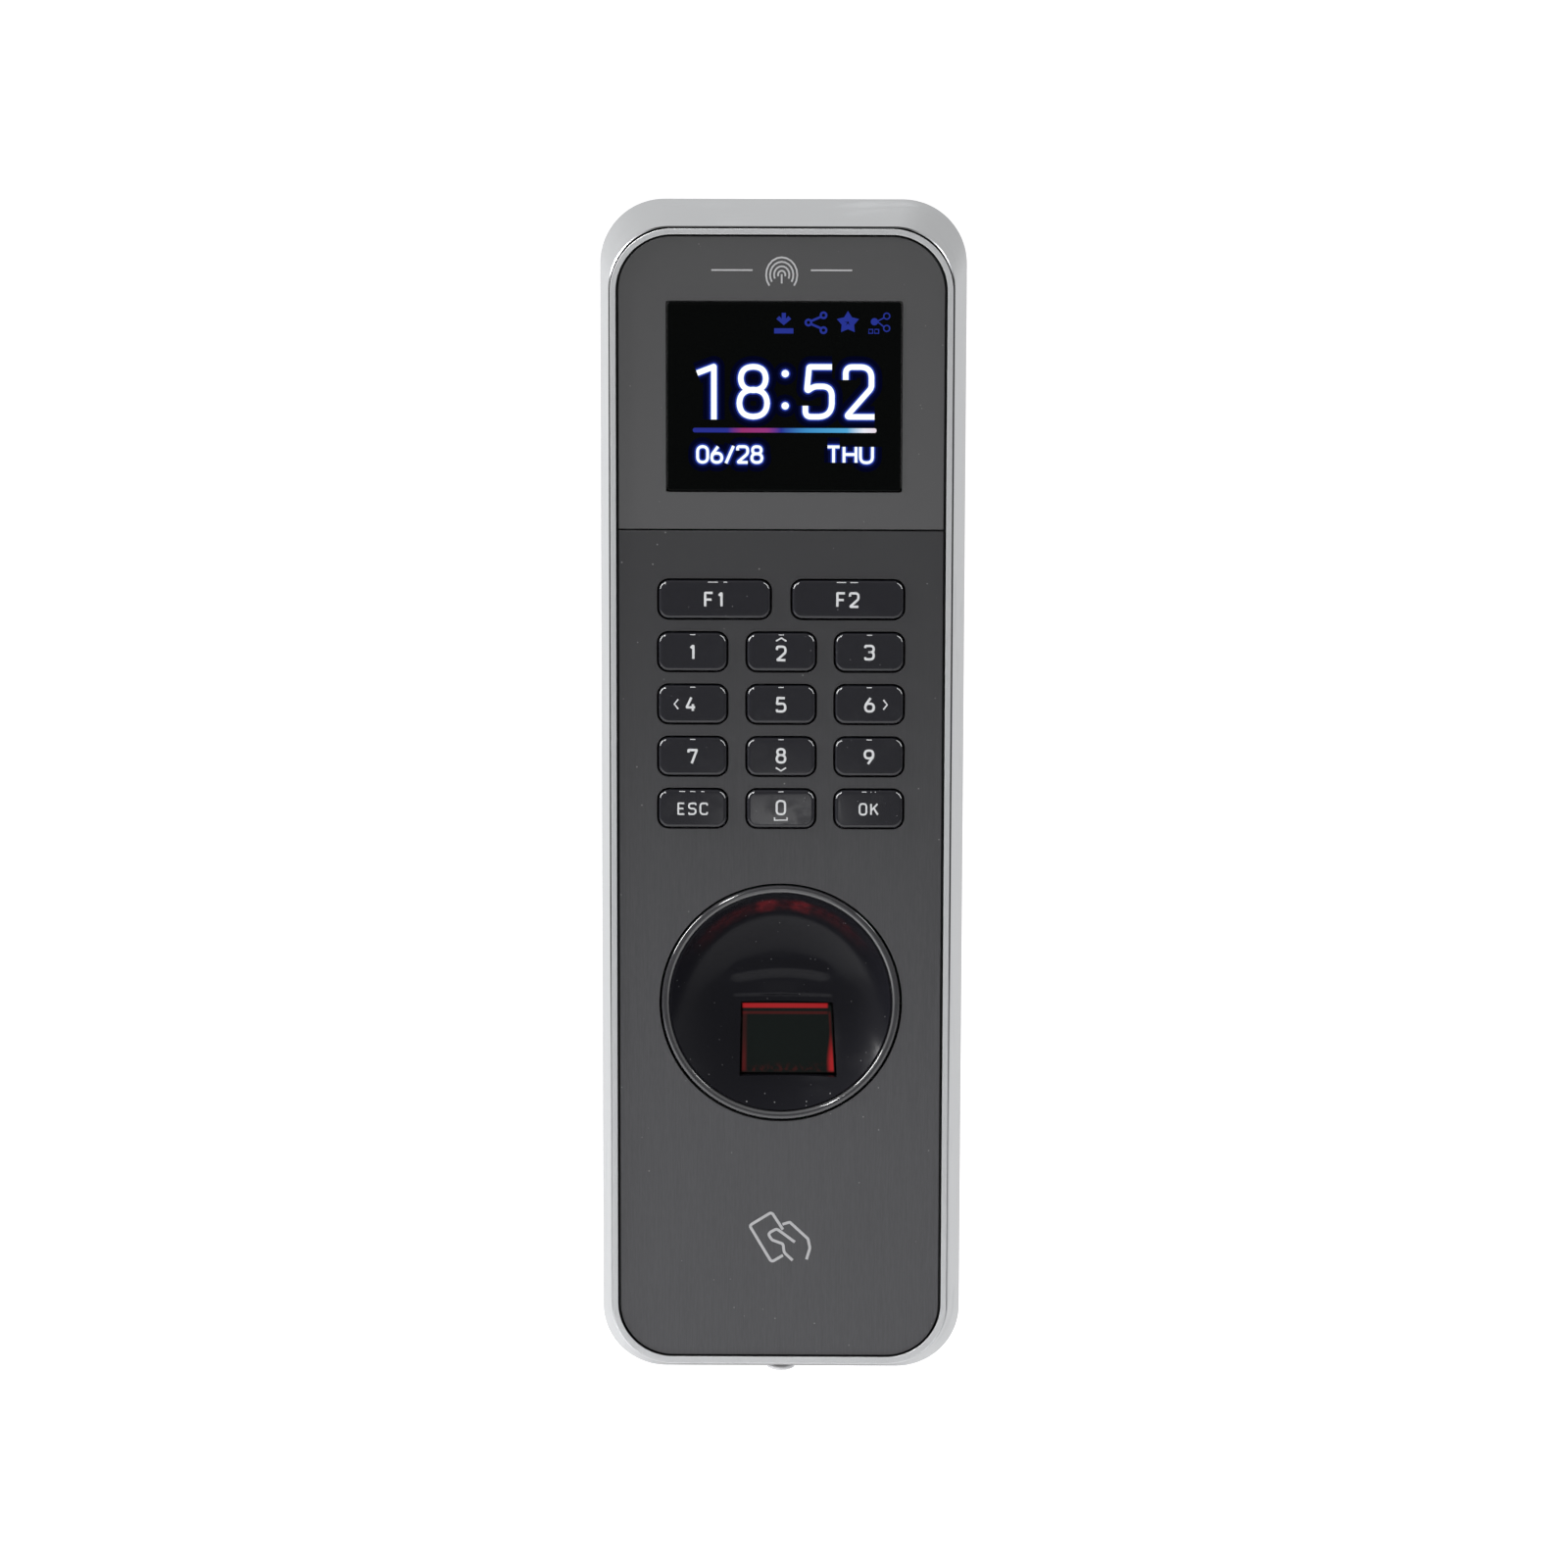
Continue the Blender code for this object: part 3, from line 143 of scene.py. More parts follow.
def sizes():
    return bpy.context.scene.terminal_sizes


def colours():
    return bpy.context.scene.terminal_colours


# ------------------------------------------------------------------ shader maths
class Value:
    """A number that varies over a surface: sums and products of values add their Math nodes."""

    def __init__(self, finish, socket):
        self.finish = finish
        self.socket = socket

    def maths(self, operation, first, second=0.0):
        return self.finish.node("ShaderNodeMath", {"operation": operation},
                                {0: first, 1: second})["Value"]

    def __add__(self, other):
        return self.maths("ADD", self, other)

    def __radd__(self, other):
        return self.maths("ADD", other, self)

    def __sub__(self, other):
        return self.maths("SUBTRACT", self, other)

    def __rsub__(self, other):
        return self.maths("SUBTRACT", other, self)

    def __mul__(self, other):
        return self.maths("MULTIPLY", self, other)

    def __rmul__(self, other):
        return self.maths("MULTIPLY", other, self)

    def __truediv__(self, other):
        return self.maths("DIVIDE", self, other)

    def __pow__(self, other):
        return self.maths("POWER", self, other)

    def __abs__(self):
        return self.maths("ABSOLUTE", self)


class Outputs:
    """The output sockets of a node, by name, as values."""

    def __init__(self, finish, node):
        self.finish = finish
        self.node = node

    def __getitem__(self, name):
        return Value(self.finish, self.node.outputs[name])


class Finish:
    """One node material on object coordinates in metres."""

    def __init__(self, name, colour, roughness, metallic=0.0, specular=0.5, coat=0.0,
                 coat_roughness=0.03):
        self.material = bpy.data.materials.new(name)
        self.material.use_nodes = True
        self.tree = self.material.node_tree
        self.shader = self.tree.nodes["Principled BSDF"]
        self.set("Base Color", (*colour, 1.0))
        self.set("Roughness", roughness)
        self.set("Metallic", metallic)
        self.set("Specular IOR Level", specular)
        self.set("Coat Weight", coat)
        self.set("Coat Roughness", coat_roughness)
        self.material.diffuse_color = (*colour, 1.0)
        self.place = self.node("ShaderNodeTexCoord")["Object"]

    def set(self, socket, value):
        target = self.shader.inputs[socket]
        if isinstance(value, Value):
            self.tree.links.new(value.socket, target)
        else:
            target.default_value = value

    def node(self, kind, settings=None, inputs=None):
        """Adds a node: its settings first, then the values or links of its sockets."""
        node = self.tree.nodes.new(kind)
        for name, value in (settings or {}).items():
            if name == "stops":
                ramp = node.color_ramp
                while len(ramp.elements) < len(value):
                    ramp.elements.new(1.0)
                for element, (position, colour) in zip(ramp.elements, value):
                    element.position = position
                    element.color = (*colour, 1.0)
            else:
                setattr(node, name, value)
        for name, value in (inputs or {}).items():
            socket = node.inputs[name]
            if isinstance(value, Value):
                self.tree.links.new(value.socket, socket)
            else:
                socket.default_value = value
        return Outputs(self, node)

    def axes(self):
        split = self.node("ShaderNodeSeparateXYZ", None, {"Vector": self.place})
        return split["X"], split["Y"], split["Z"]

    def around(self, centre):
        """Sideways, upward and outward distances from a point of the front."""
        x, _, z = self.axes()
        side = x - centre[0]
        height = z - centre[1]
        return side, height, (side * side + height * height) ** 0.5

    def stretched(self, scale):
        return self.node("ShaderNodeMapping", None,
                         {"Vector": self.place, "Scale": scale})["Vector"]

    def noise(self, scale, detail=3.0, roughness=0.5, stretch=None):
        vector = self.stretched(stretch) if stretch else self.place
        return self.node("ShaderNodeTexNoise", None,
                         {"Vector": vector, "Scale": scale, "Detail": detail,
                          "Roughness": roughness})["Fac"]

    def cells(self, scale, stretch=None):
        vector = self.stretched(stretch) if stretch else self.place
        return self.node("ShaderNodeTexVoronoi", {"feature": "F1"},
                         {"Vector": vector, "Scale": scale})["Distance"]

    def ease(self, value, low, high):
        """0 below low and 1 above high, with a smooth step between them."""
        return self.node("ShaderNodeMapRange", {"interpolation_type": "SMOOTHSTEP", "clamp": True},
                         {"Value": value, "From Min": low, "From Max": high})["Result"]

    def mix(self, share, first, second):
        node = self.tree.nodes.new("ShaderNodeMix")
        node.data_type = "RGBA"
        sockets = {"Factor": node.inputs[0], "A": node.inputs[6], "B": node.inputs[7]}
        for name, value in (("Factor", share), ("A", first), ("B", second)):
            if isinstance(value, Value):
                self.tree.links.new(value.socket, sockets[name])
            else:
                sockets[name].default_value = value if name == "Factor" else (*value, 1.0)
        return Value(self, node.outputs[2])

    def bump(self, height, distance, strength=1.0):
        self.set("Normal", self.node("ShaderNodeBump", None,
                                     {"Height": height, "Distance": distance,
                                      "Strength": strength})["Normal"])

    def specks(self, scale, size, amount=0.5):
        """Sparse dust: near the middle of some cells only."""
        dots = 1.0 - self.ease(self.cells(scale), size * 0.5, size)
        return dots * self.ease(self.noise(scale * 0.45, 1.0), amount, amount + 0.05)


def scaled(colour, factor):
    return tuple(channel * factor for channel in colour)


# ------------------------------------------------------------------ finishes
def silver_paint():
    """Cast housing's paint, with painted shade: a dark painted line on the rim's straight stretches
    and a painted shadow low in the middle of the underside.
    """
    base = tuple(colours().housing)
    f = Finish("silver_paint", base, 0.36, metallic=0.85)
    f.set("Specular Tint", (0.62, 0.62, 0.62, 1.0))
    flakes = f.noise(5200.0, 2.0)
    cloud = f.noise(28.0, 3.0)
    smudge = f.ease(f.noise(60.0, 4.0, 0.6), 0.56, 0.72)
    x, y, z = f.axes()
    # under: painted shadow on the underside, low in the middle
    under = (1.0 - f.ease(z, -85.8 * MM, -84.2 * MM)) * (1.0 - f.ease(abs(x), 14 * MM, 24 * MM))
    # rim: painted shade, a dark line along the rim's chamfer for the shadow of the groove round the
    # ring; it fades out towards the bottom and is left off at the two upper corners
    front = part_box("main_housing")[0].y
    rim = 1.0 - f.ease(y, front + 0.17 * MM, front + 0.23 * MM)
    corner = f.ease(abs(x), 18.8 * MM, 21.5 * MM) * f.ease(z, 84.8 * MM, 87.0 * MM)
    rim = rim * f.ease(z, -50.0 * MM, -10.0 * MM) * (1.0 - corner)
    shade = f.mix(flakes * 0.5 + cloud * 0.3, scaled(base, 0.90), scaled(base, 1.06))
    shade = f.mix(under, shade, scaled(base, 0.26))
    f.set("Base Color", f.mix(rim, shade, scaled(base, 0.13)))
    f.set("Roughness", 0.30 + flakes * 0.08 + smudge * 0.10)
    f.bump(flakes * 0.6 + f.noise(900.0, 2.0) * 0.4, 0.00002, 0.35)
    return f.material


def ring_satin():
    """Blasted ring, with painted shade: dark on the walls of its grooves."""
    base = tuple(colours().ring)
    f = Finish("ring_satin", base, 0.42, metallic=0.8)
    grit = f.noise(7500.0, 2.0)
    # side: painted groove shadow, the ring's walls behind its front face are painted near black
    side = f.ease(f.axes()[1], at_depth(0.08 * MM), at_depth(0.16 * MM))
    shade = f.mix(grit, scaled(base, 0.88), scaled(base, 1.10))
    f.set("Base Color", f.mix(side, shade, scaled(base, 0.06)))
    f.set("Roughness", 0.34 + grit * 0.16)
    f.bump(grit, 0.00003, 0.5)
    return f.material


def dark_satin():
    base = tuple(colours().panel)
    f = Finish("dark_satin", base, 0.44, metallic=0.15, specular=0.45)
    grain = f.noise(9000.0, 2.0)
    haze = f.noise(35.0, 2.0)
    dust = f.specks(900.0, 0.10, 0.60)
    # lower: painted shading, the panel is lighter towards its bottom and darker towards its top;
    # haze adds random tone
    lower = 1.0 - f.ease(f.axes()[2], 0.045, 0.095)
    shade = f.mix(haze * 0.3 + lower * 0.7, scaled(base, 0.80), scaled(base, 1.10))
    f.set("Base Color", f.mix(dust * 0.5, shade, (0.30, 0.30, 0.30)))
    f.set("Roughness", 0.40 + grain * 0.10)
    f.bump(grain, 0.000012, 0.4)
    return f.material


def dark_brushed():
    base = tuple(colours().plate)
    f = Finish("dark_brushed", base, 0.40, metallic=0.65)
    fine = f.noise(1.0, 3.0, 0.6, stretch=(9000.0, 60.0, 160.0))
    coarse = f.noise(1.0, 2.0, 0.5, stretch=(1800.0, 60.0, 30.0))
    strokes = f.noise(1.0, 2.0, 0.5, stretch=(5200.0, 60.0, 700.0))
    streak = fine * 0.5 + coarse * 0.12 + strokes * 0.38
    haze = f.noise(30.0, 2.0)
    dust = f.specks(520.0, 0.075, 0.50)
    shade = f.mix(f.ease(streak, 0.34, 0.66), scaled(base, 0.86), scaled(base, 1.15))
    # painted shading: the plate is darkened towards its top and lightened towards its bottom
    lower = 1.0 - f.ease(f.axes()[2], -0.055, 0.050)
    shade = f.mix(1.0 - lower, shade, scaled(base, 0.68))
    shade = f.mix(lower * (0.3 + haze * 0.3), shade, scaled(base, 1.30))
    f.set("Base Color", f.mix(dust * 0.7, shade, (0.38, 0.38, 0.38)))
    f.set("Roughness", 0.36 + streak * 0.14 + dust * 0.3)
    f.bump(streak, 0.000012, 0.35)
    return f.material


def key_gloss():
    base = (0.013, 0.013, 0.017)
    f = Finish("key_gloss", base, 0.10, specular=0.42, coat=0.25)
    smear = f.ease(f.noise(260.0, 3.0, 0.6), 0.52, 0.70)
    hair = f.ease(f.noise(1.0, 2.0, stretch=(500.0, 300.0, 2500.0)), 0.70, 0.74)
    dust = f.specks(1100.0, 0.10, 0.58)
    f.set("Base Color", f.mix(dust * 0.55, base, (0.30, 0.30, 0.31)))
    f.set("Roughness", 0.07 + smear * 0.10 + hair * 0.12)
    f.bump(smear * 0.3 + hair * 0.2 + dust, 0.000008, 0.4)
    return f.material


# The keys' white print; the same material paints the keys' glints and corner highlights.
def legend_print_and_highlights():
    base = tuple(colours().legend)
    f = Finish("legend_print_and_highlights", base, 0.45)
    wear = f.noise(2500.0, 2.0)
    f.set("Base Color", f.mix(wear, scaled(base, 0.90), base))
    # a faint glow in the print's colour, which also brightens the painted highlights drawn in this
    # material
    f.set("Emission Color", (*base, 1.0))
    f.set("Emission Strength", 0.06)
    return f.material


def gloss_black():
    """Piano black of the finger bowl, with the sensor's red light caught along its upper wall."""
    base = (0.010, 0.010, 0.013)
    f = Finish("gloss_black", base, 0.16, specular=0.125)
    side, height, radius = f.around(RECESS)
    arc = f.ease(radius, 13.4 * MM, 14.8 * MM) * (1.0 - f.ease(radius, 15.3 * MM, 16.3 * MM))
    upper = f.ease(height, 6.5 * MM, 13.5 * MM)
    broken = f.ease(f.noise(900.0, 2.0), 0.35, 0.70)
    from_spot = abs(abs(side - 0.4 * MM) - 2.6 * MM)
    spot = 1.0 - f.ease(from_spot, 0.5 * MM, 2.0 * MM)
    glow = arc * upper * (0.22 + broken * 0.38) * (0.55 + spot * 2.2)
    low = 1.0 - f.ease(height, -13.5 * MM, -10.5 * MM)
    dust = f.specks(800.0, 0.12, 0.50) * (0.25 + low * 0.75)
    f.set("Base Color", f.mix(dust * 0.7, base, (0.35, 0.35, 0.36)))
    f.set("Roughness", 0.17 + f.ease(f.noise(180.0, 3.0), 0.5, 0.7) * 0.06 + dust * 0.3)
    f.set("Emission Color", f.mix(glow, (0.0, 0.0, 0.0), (0.075, 0.004, 0.005)))
    f.set("Emission Strength", 1.0)
    return f.material


def light_guide():
    """Smoked clear plastic: dark over its body and paler where its inner lip pipes light."""
    f = Finish("light_guide", (0.03, 0.03, 0.033), 0.10, coat=1.0)
    cloud = f.noise(400.0, 3.0)
    lip = 1.0 - f.ease(f.around(RECESS)[2], 17.42 * MM, 17.62 * MM)
    body = f.mix(cloud, (0.022, 0.022, 0.025), (0.036, 0.036, 0.040))
    f.set("Base Color", f.mix(lip, body, (0.085, 0.085, 0.088)))
    f.set("Roughness", 0.09 + cloud * 0.08)
    f.bump(f.noise(1500.0, 2.0), 0.00001, 0.3)
    return f.material


RIGHT_LEAN = 0.6 * MM      # how far the sensor window narrows to its top on each side
LEFT_LEAN = 0.12 * MM


def sensor_face():
    """Dark optical window, lit red along its upper edge and in its lower corners."""
    f = Finish("sensor_face", (0.004, 0.006, 0.005), 0.05, specular=0.20)
    x, _, z = f.axes()
    x0, x1, z0, z1 = face_box("sensor_glass")
    centre = (x0 + x1) / 2
    side = x - centre
    drop = z1 - z
    half = 6.2 * MM
    bar = f.ease(drop, 0.15 * MM, 0.35 * MM) * (1.0 - f.ease(drop, 0.80 * MM, 1.05 * MM))
    under = f.ease(drop, 1.35 * MM, 1.50 * MM) * (1.0 - f.ease(drop, 1.75 * MM, 1.95 * MM))
    across = 1.0 - f.ease(abs(side + 0.52 * MM), half + 0.20 * MM, half + 0.60 * MM)
    bar = (bar + under * 0.13) * across
    lean = drop * (RIGHT_LEAN / (z1 - z0))
    edge = half + lean + 0.05 * MM
    lower = f.ease(drop, 4.0 * MM, 9.4 * MM)
    end = 1.0 - f.ease(drop, 9.9 * MM, 10.5 * MM)
    spread = 0.25 * MM + lower * (0.75 * MM)
    right = f.ease(side, edge - spread, edge) * (1.0 - f.ease(side, edge + 0.1 * MM,
                                                             edge + 0.35 * MM))
    left_edge = half + 0.72 * MM + lean * 0.2
    other = side * -1.0
    left = f.ease(other, left_edge - 0.75 * MM, left_edge - 0.2 * MM)
    left = left * (1.0 - f.ease(other, left_edge, left_edge + 0.25 * MM))
    thin = f.ease(drop, 1.2 * MM, 1.8 * MM) * end
    foot = f.ease(drop, 8.6 * MM, 10.2 * MM) * end * (1.0 - f.ease(abs(side), half, edge))
    speckle = f.ease(f.noise(1500.0, 1.0), 0.40, 0.75)
    light = bar + right * lower * end + right * thin * 0.10
    light = light + left * thin * (0.07 + lower * 0.12) + foot * speckle * 0.10
    f.set("Base Color", (0.006, 0.009, 0.008, 1.0))
    f.set("Roughness", 0.05 + f.noise(220.0, 3.0) * 0.05)
    f.set("Emission Color", f.mix(light, (0.0008, 0.0010, 0.0009), tuple(colours().glow)))
    f.set("Emission Strength", 0.90)
    return f.material


def screen_glass():
    f = Finish("screen_glass", (0.0012, 0.0015, 0.0015), 0.06, specular=0.07)
    smear = f.noise(120.0, 3.0)
    grid = f.noise(5200.0, 1.0)
    f.set("Base Color", f.mix(grid, (0.0006, 0.0009, 0.0009), (0.002, 0.0024, 0.0022)))
    f.set("Roughness", 0.04 + f.ease(smear, 0.45, 0.75) * 0.08)
    return f.material


def lit(name, colour, strength):
    """A display colour: a little grain keeps it from looking painted."""
    f = Finish(name, scaled(colour, 0.2), 0.5, specular=0.0)
    grain = f.noise(5200.0, 1.0)
    f.set("Emission Color", f.mix(grain, scaled(colour, 0.90), colour))
    f.set("Emission Strength", strength)
    return f.material


def rule_light(box):
    """The coloured rule under the clock: blue, magenta, cyan and white from left to right."""
    f = Finish("rule_light", (0.004, 0.004, 0.005), 0.5, specular=0.0)
    x, _, _ = f.axes()
    share = (x - box[0]) / (box[1] - box[0])
    ramp = f.node("ShaderNodeValToRGB", {"stops": (
        (0.00, (0.018, 0.026, 0.26)), (0.19, (0.020, 0.028, 0.27)), (0.27, (0.30, 0.030, 0.15)),
        (0.40, (0.30, 0.035, 0.20)), (0.48, (0.020, 0.030, 0.28)), (0.62, (0.045, 0.26, 0.55)),
        (0.84, (0.08, 0.38, 0.66)), (0.93, (0.80, 0.82, 0.90)), (1.00, (0.82, 0.70, 0.78)))},
        {"Fac": share})
    f.set("Emission Color", ramp["Color"])
    f.set("Emission Strength", 1.0)
    return f.material


def brushed_steel(name, colour, roughness=0.32, scale=1.0):
    f = Finish(name, colour, roughness, metallic=1.0)
    grain = f.noise(1.0, 3.0, 0.6, stretch=(600.0 * scale, 600.0 * scale, 4200.0 * scale))
    spot = f.noise(350.0, 3.0)
    f.set("Base Color", f.mix(grain, scaled(colour, 0.86), scaled(colour, 1.08)))
    f.set("Roughness", (roughness - 0.06) + grain * 0.10 + f.ease(spot, 0.55, 0.75) * 0.08)
    f.bump(grain, 0.00001, 0.35)
    return f.material


def zinc_plate():
    base = (0.47, 0.48, 0.50)
    f = Finish("zinc_plate", base, 0.36, metallic=1.0)
    spangle = f.cells(420.0)
    cloud = f.noise(80.0, 3.0)
    f.set("Base Color", f.mix(spangle, scaled(base, 0.74), scaled(base, 1.10)))
    f.set("Roughness", 0.30 + spangle * 0.12 + cloud * 0.08)
    f.bump(f.noise(1600.0, 2.0), 0.00001, 0.3)
    return f.material


def moulded(name, colour, roughness=0.52):
    f = Finish(name, colour, roughness)
    spark = f.noise(3200.0, 2.0)
    cloud = f.noise(60.0, 2.0)
    f.set("Base Color", f.mix(cloud, scaled(colour, 0.88), scaled(colour, 1.15)))
    f.set("Roughness", roughness - 0.06 + spark * 0.12)
    f.bump(spark, 0.00004, 0.5)
    return f.material


def circuit_board():
    base = (0.018, 0.10, 0.045)
    f = Finish("circuit_board", base, 0.38, coat=0.2)
    upright = f.node("ShaderNodeMapping", None,
                     {"Vector": f.place, "Rotation": (math.pi / 2, 0.0, 0.0)})["Vector"]
    tracks = f.node("ShaderNodeTexBrick", {"offset": 0.35, "squash": 1.0},
                    {"Vector": upright, "Scale": 260.0, "Mortar Size": 0.03,
                     "Brick Width": 0.9, "Row Height": 0.22})["Fac"]
    patch = f.ease(f.noise(120.0, 2.0), 0.46, 0.52)
    lines = tracks * patch
    f.set("Base Color", f.mix(lines, base, (0.05, 0.22, 0.09)))
    f.set("Roughness", 0.34 + f.noise(700.0, 2.0) * 0.10)
    f.bump(lines, 0.00003, 0.5)
    return f.material


def stage_floor():
    f = Finish("stage_floor", (0.86, 0.86, 0.87), 0.85, specular=0.1)
    f.set("Base Color", f.mix(f.noise(0.8, 2.0), (0.85, 0.85, 0.86), (0.88, 0.88, 0.89)))
    far = f.ease(f.axes()[1], 0.15, 1.1)
    f.set("Emission Color", f.mix(far, (0.0, 0.0, 0.0), (1.0, 1.0, 1.0)))
    f.set("Emission Strength", 0.55)
    return f.material


# ------------------------------------------------------------------ modelling by hand, in code
def only(obj):
    bpy.ops.object.select_all(action="DESELECT")
    obj.select_set(True)
    bpy.context.view_layer.objects.active = obj


def start_edit():
    bpy.ops.object.mode_set(mode="EDIT")


def end_edit(smooth_angle=35):
    """Closes edit mode with every face pointing out and round stretches shaded smooth."""
    bpy.ops.mesh.select_all(action="SELECT")
    bpy.ops.mesh.remove_doubles(threshold=0.000001)
    bpy.ops.mesh.normals_make_consistent(inside=False)
    bpy.ops.object.mode_set(mode="OBJECT")
    bpy.ops.object.shade_smooth_by_angle(angle=math.radians(smooth_angle))


def pick(kind, test):
    """Selects, in edit mode, the VERT, EDGE or FACE parts that pass a test."""
    bpy.ops.mesh.select_mode(type=kind)
    bpy.ops.mesh.select_all(action="DESELECT")
    mesh = bpy.context.object.data
    bm = bmesh.from_edit_mesh(mesh)
    for part in {"VERT": bm.verts, "EDGE": bm.edges, "FACE": bm.faces}[kind]:
        if test(part):
            part.select_set(True)
    bmesh.update_edit_mesh(mesh)


def caps(side):
    """Test for the large flat ends of a solid: side is -1 for the front and 1 for the rear."""
    return lambda face: len(face.verts) > 4 and face.normal.y * side > 0.9


def sheet(name, box, y, top_radius=0.0, bottom_radius=0.0, segments=14):
    """Upright plate outline facing forwards, left in edit mode with its face selected."""
    x0, x1, z0, z1 = box
    bpy.ops.object.select_all(action="DESELECT")
    bpy.ops.mesh.primitive_plane_add(size=1.0, location=((x0 + x1) / 2, y, (z0 + z1) / 2),
                                     rotation=(math.pi / 2, 0.0, 0.0))
    obj = bpy.context.object
    obj.name = name
    obj.data.name = name
    obj.scale = (x1 - x0, z1 - z0, 1.0)
    bpy.ops.object.transform_apply(location=True, rotation=True, scale=True)
    start_edit()
    middle_z = (z0 + z1) / 2
    for radius, side in ((top_radius, 1), (bottom_radius, -1)):
        if radius > 0:
            pick("VERT", lambda v: (v.co.z - middle_z) * side > 0 and
                 abs(abs(v.co.x - (x0 + x1) / 2) - (x1 - x0) / 2) < 1e-6)
            bpy.ops.mesh.bevel(offset=radius, segments=segments, affect="VERTICES",
                               offset_type="OFFSET")
    pick("FACE", lambda face: True)
    return obj


def push(depth):
    """Extrudes the selected faces towards the wall, or forwards for a negative depth."""
    bpy.ops.mesh.extrude_region_move(TRANSFORM_OT_translate={"value": (0.0, depth, 0.0)})


def inset(width, depth=0.0):
    """Moves the selected faces in by a width and then along the depth axis."""
    bpy.ops.mesh.inset(thickness=width, depth=0.0, use_even_offset=True, use_boundary=True)
    if depth:
        bpy.ops.transform.translate(value=(0.0, depth, 0.0), orient_type="GLOBAL")


def stretch(old, new):
    """Resizes the selection from one face box to another."""
    centre = middle(old)
    bpy.ops.transform.resize(value=((new[1] - new[0]) / (old[1] - old[0]), 1.0,
                                    (new[3] - new[2]) / (old[3] - old[2])),
                             center_override=(centre[0], 0.0, centre[1]), orient_type="GLOBAL")
    bpy.ops.transform.translate(value=(middle(new)[0] - centre[0], 0.0,
                                       middle(new)[1] - centre[1]), orient_type="GLOBAL")


def close_rear():
    """Gives a pushed-out sheet its rear face where the extrusion left it open."""
    bpy.ops.mesh.select_mode(type="EDGE")
    bpy.ops.mesh.select_all(action="DESELECT")
    bpy.ops.mesh.select_non_manifold()
    if any(edge.select for edge in bmesh.from_edit_mesh(bpy.context.object.data).edges):
        bpy.ops.mesh.edge_face_add()
    bpy.ops.mesh.select_all(action="SELECT")
    bpy.ops.mesh.normals_make_consistent(inside=False)


def open_through():
    """Deletes a solid's two large flat ends and bridges their rims, so that it is a hollow band."""
    pick("FACE", lambda face: len(face.verts) > 8)
    bpy.ops.mesh.delete(type="ONLY_FACE")
    bpy.ops.mesh.select_mode(type="EDGE")
    bpy.ops.mesh.select_all(action="DESELECT")
    bpy.ops.mesh.select_non_manifold()
    bpy.ops.mesh.bridge_edge_loops()


def apply_modifier(obj, kind, **settings):
    only(obj)
    modifier = obj.modifiers.new(kind, kind)
    for name, value in settings.items():
        setattr(modifier, name, value)
    bpy.ops.object.modifier_apply(modifier=modifier.name)


def round_edges(obj, width, segments=3, angle=40):
    apply_modifier(obj, "BEVEL", width=width, segments=segments, limit_method="ANGLE",
                   angle_limit=math.radians(angle), miter_outer="MITER_ARC")
    bpy.ops.object.shade_smooth_by_angle(angle=math.radians(35))


def flatten_shading(obj):
    """Lets the large faces set the shading, so that flat stretches mirror as flat ones do."""
    apply_modifier(obj, "WEIGHTED_NORMAL", weight=100, keep_sharp=True)


def cut(obj, cutter, operation="DIFFERENCE"):
    apply_modifier(obj, "BOOLEAN", object=cutter, operation=operation, solver="EXACT")
    bpy.data.objects.remove(cutter)


def slab(name, box, front, back, top_radius=0.0, bottom_radius=0.0, segments=14):
    """Flat plate of one thickness, closed, back in object mode."""
    obj = sheet(name, box, back, top_radius, bottom_radius, segments)
    push(front - back)
    close_rear()
    end_edit()
    return obj


def rod(name, centre, radius, front, back, vertices=32):
    """Straight round bar along the depth axis."""
    bpy.ops.object.select_all(action="DESELECT")
    bpy.ops.mesh.primitive_cylinder_add(
        vertices=vertices, radius=radius, depth=back - front,
        location=(centre[0], (front + back) / 2, centre[1]), rotation=(math.pi / 2, 0.0, 0.0))
    obj = bpy.context.object
    obj.name = name
    bpy.ops.object.transform_apply(location=True, rotation=True, scale=True)
    return obj


def join(name, objects):
    bpy.ops.object.select_all(action="DESELECT")
    for obj in objects:
        obj.select_set(True)
    bpy.context.view_layer.objects.active = objects[0]
    if len(objects) > 1:
        bpy.ops.object.join()
    obj = bpy.context.object
    obj.name = name
    obj.data.name = name
    return obj


def dress(obj, material, body, slot, *nodes):
    """Gives a finished piece its material, its body and the CAD nodes it stands for; the slot
    argument is not used.
    """
    obj.data.materials.clear()
    obj.data.materials.append(material)
    obj.data.polygons.foreach_set("material_index", [0] * len(obj.data.polygons))
    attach(obj, body)
    if nodes:
        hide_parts(*nodes)
    return obj


def repaint(names, material):
    for name in names:
        mesh = NODES[name].data
        mesh.materials.clear()
        mesh.materials.append(material)


def sharpened_copy(node, name, bevel, segments=2):
    """A copy of a CAD node with welded faces, flat stretches merged and its edges rounded."""
    mesh = NODES[node].data.copy()
    obj = bpy.data.objects.new(name, mesh)
    mesh.name = name
    bpy.context.scene.collection.objects.link(obj)
    only(obj)
    start_edit()
    bpy.ops.mesh.select_all(action="SELECT")
    bpy.ops.mesh.remove_doubles(threshold=0.000002)
    bpy.ops.mesh.dissolve_limited(angle_limit=math.radians(1.0))
    bpy.ops.object.mode_set(mode="OBJECT")
    mesh.normals_split_custom_set_from_vertices([(0.0, 0.0, 0.0)] * len(mesh.vertices))
    round_edges(obj, bevel, segments)
    return obj


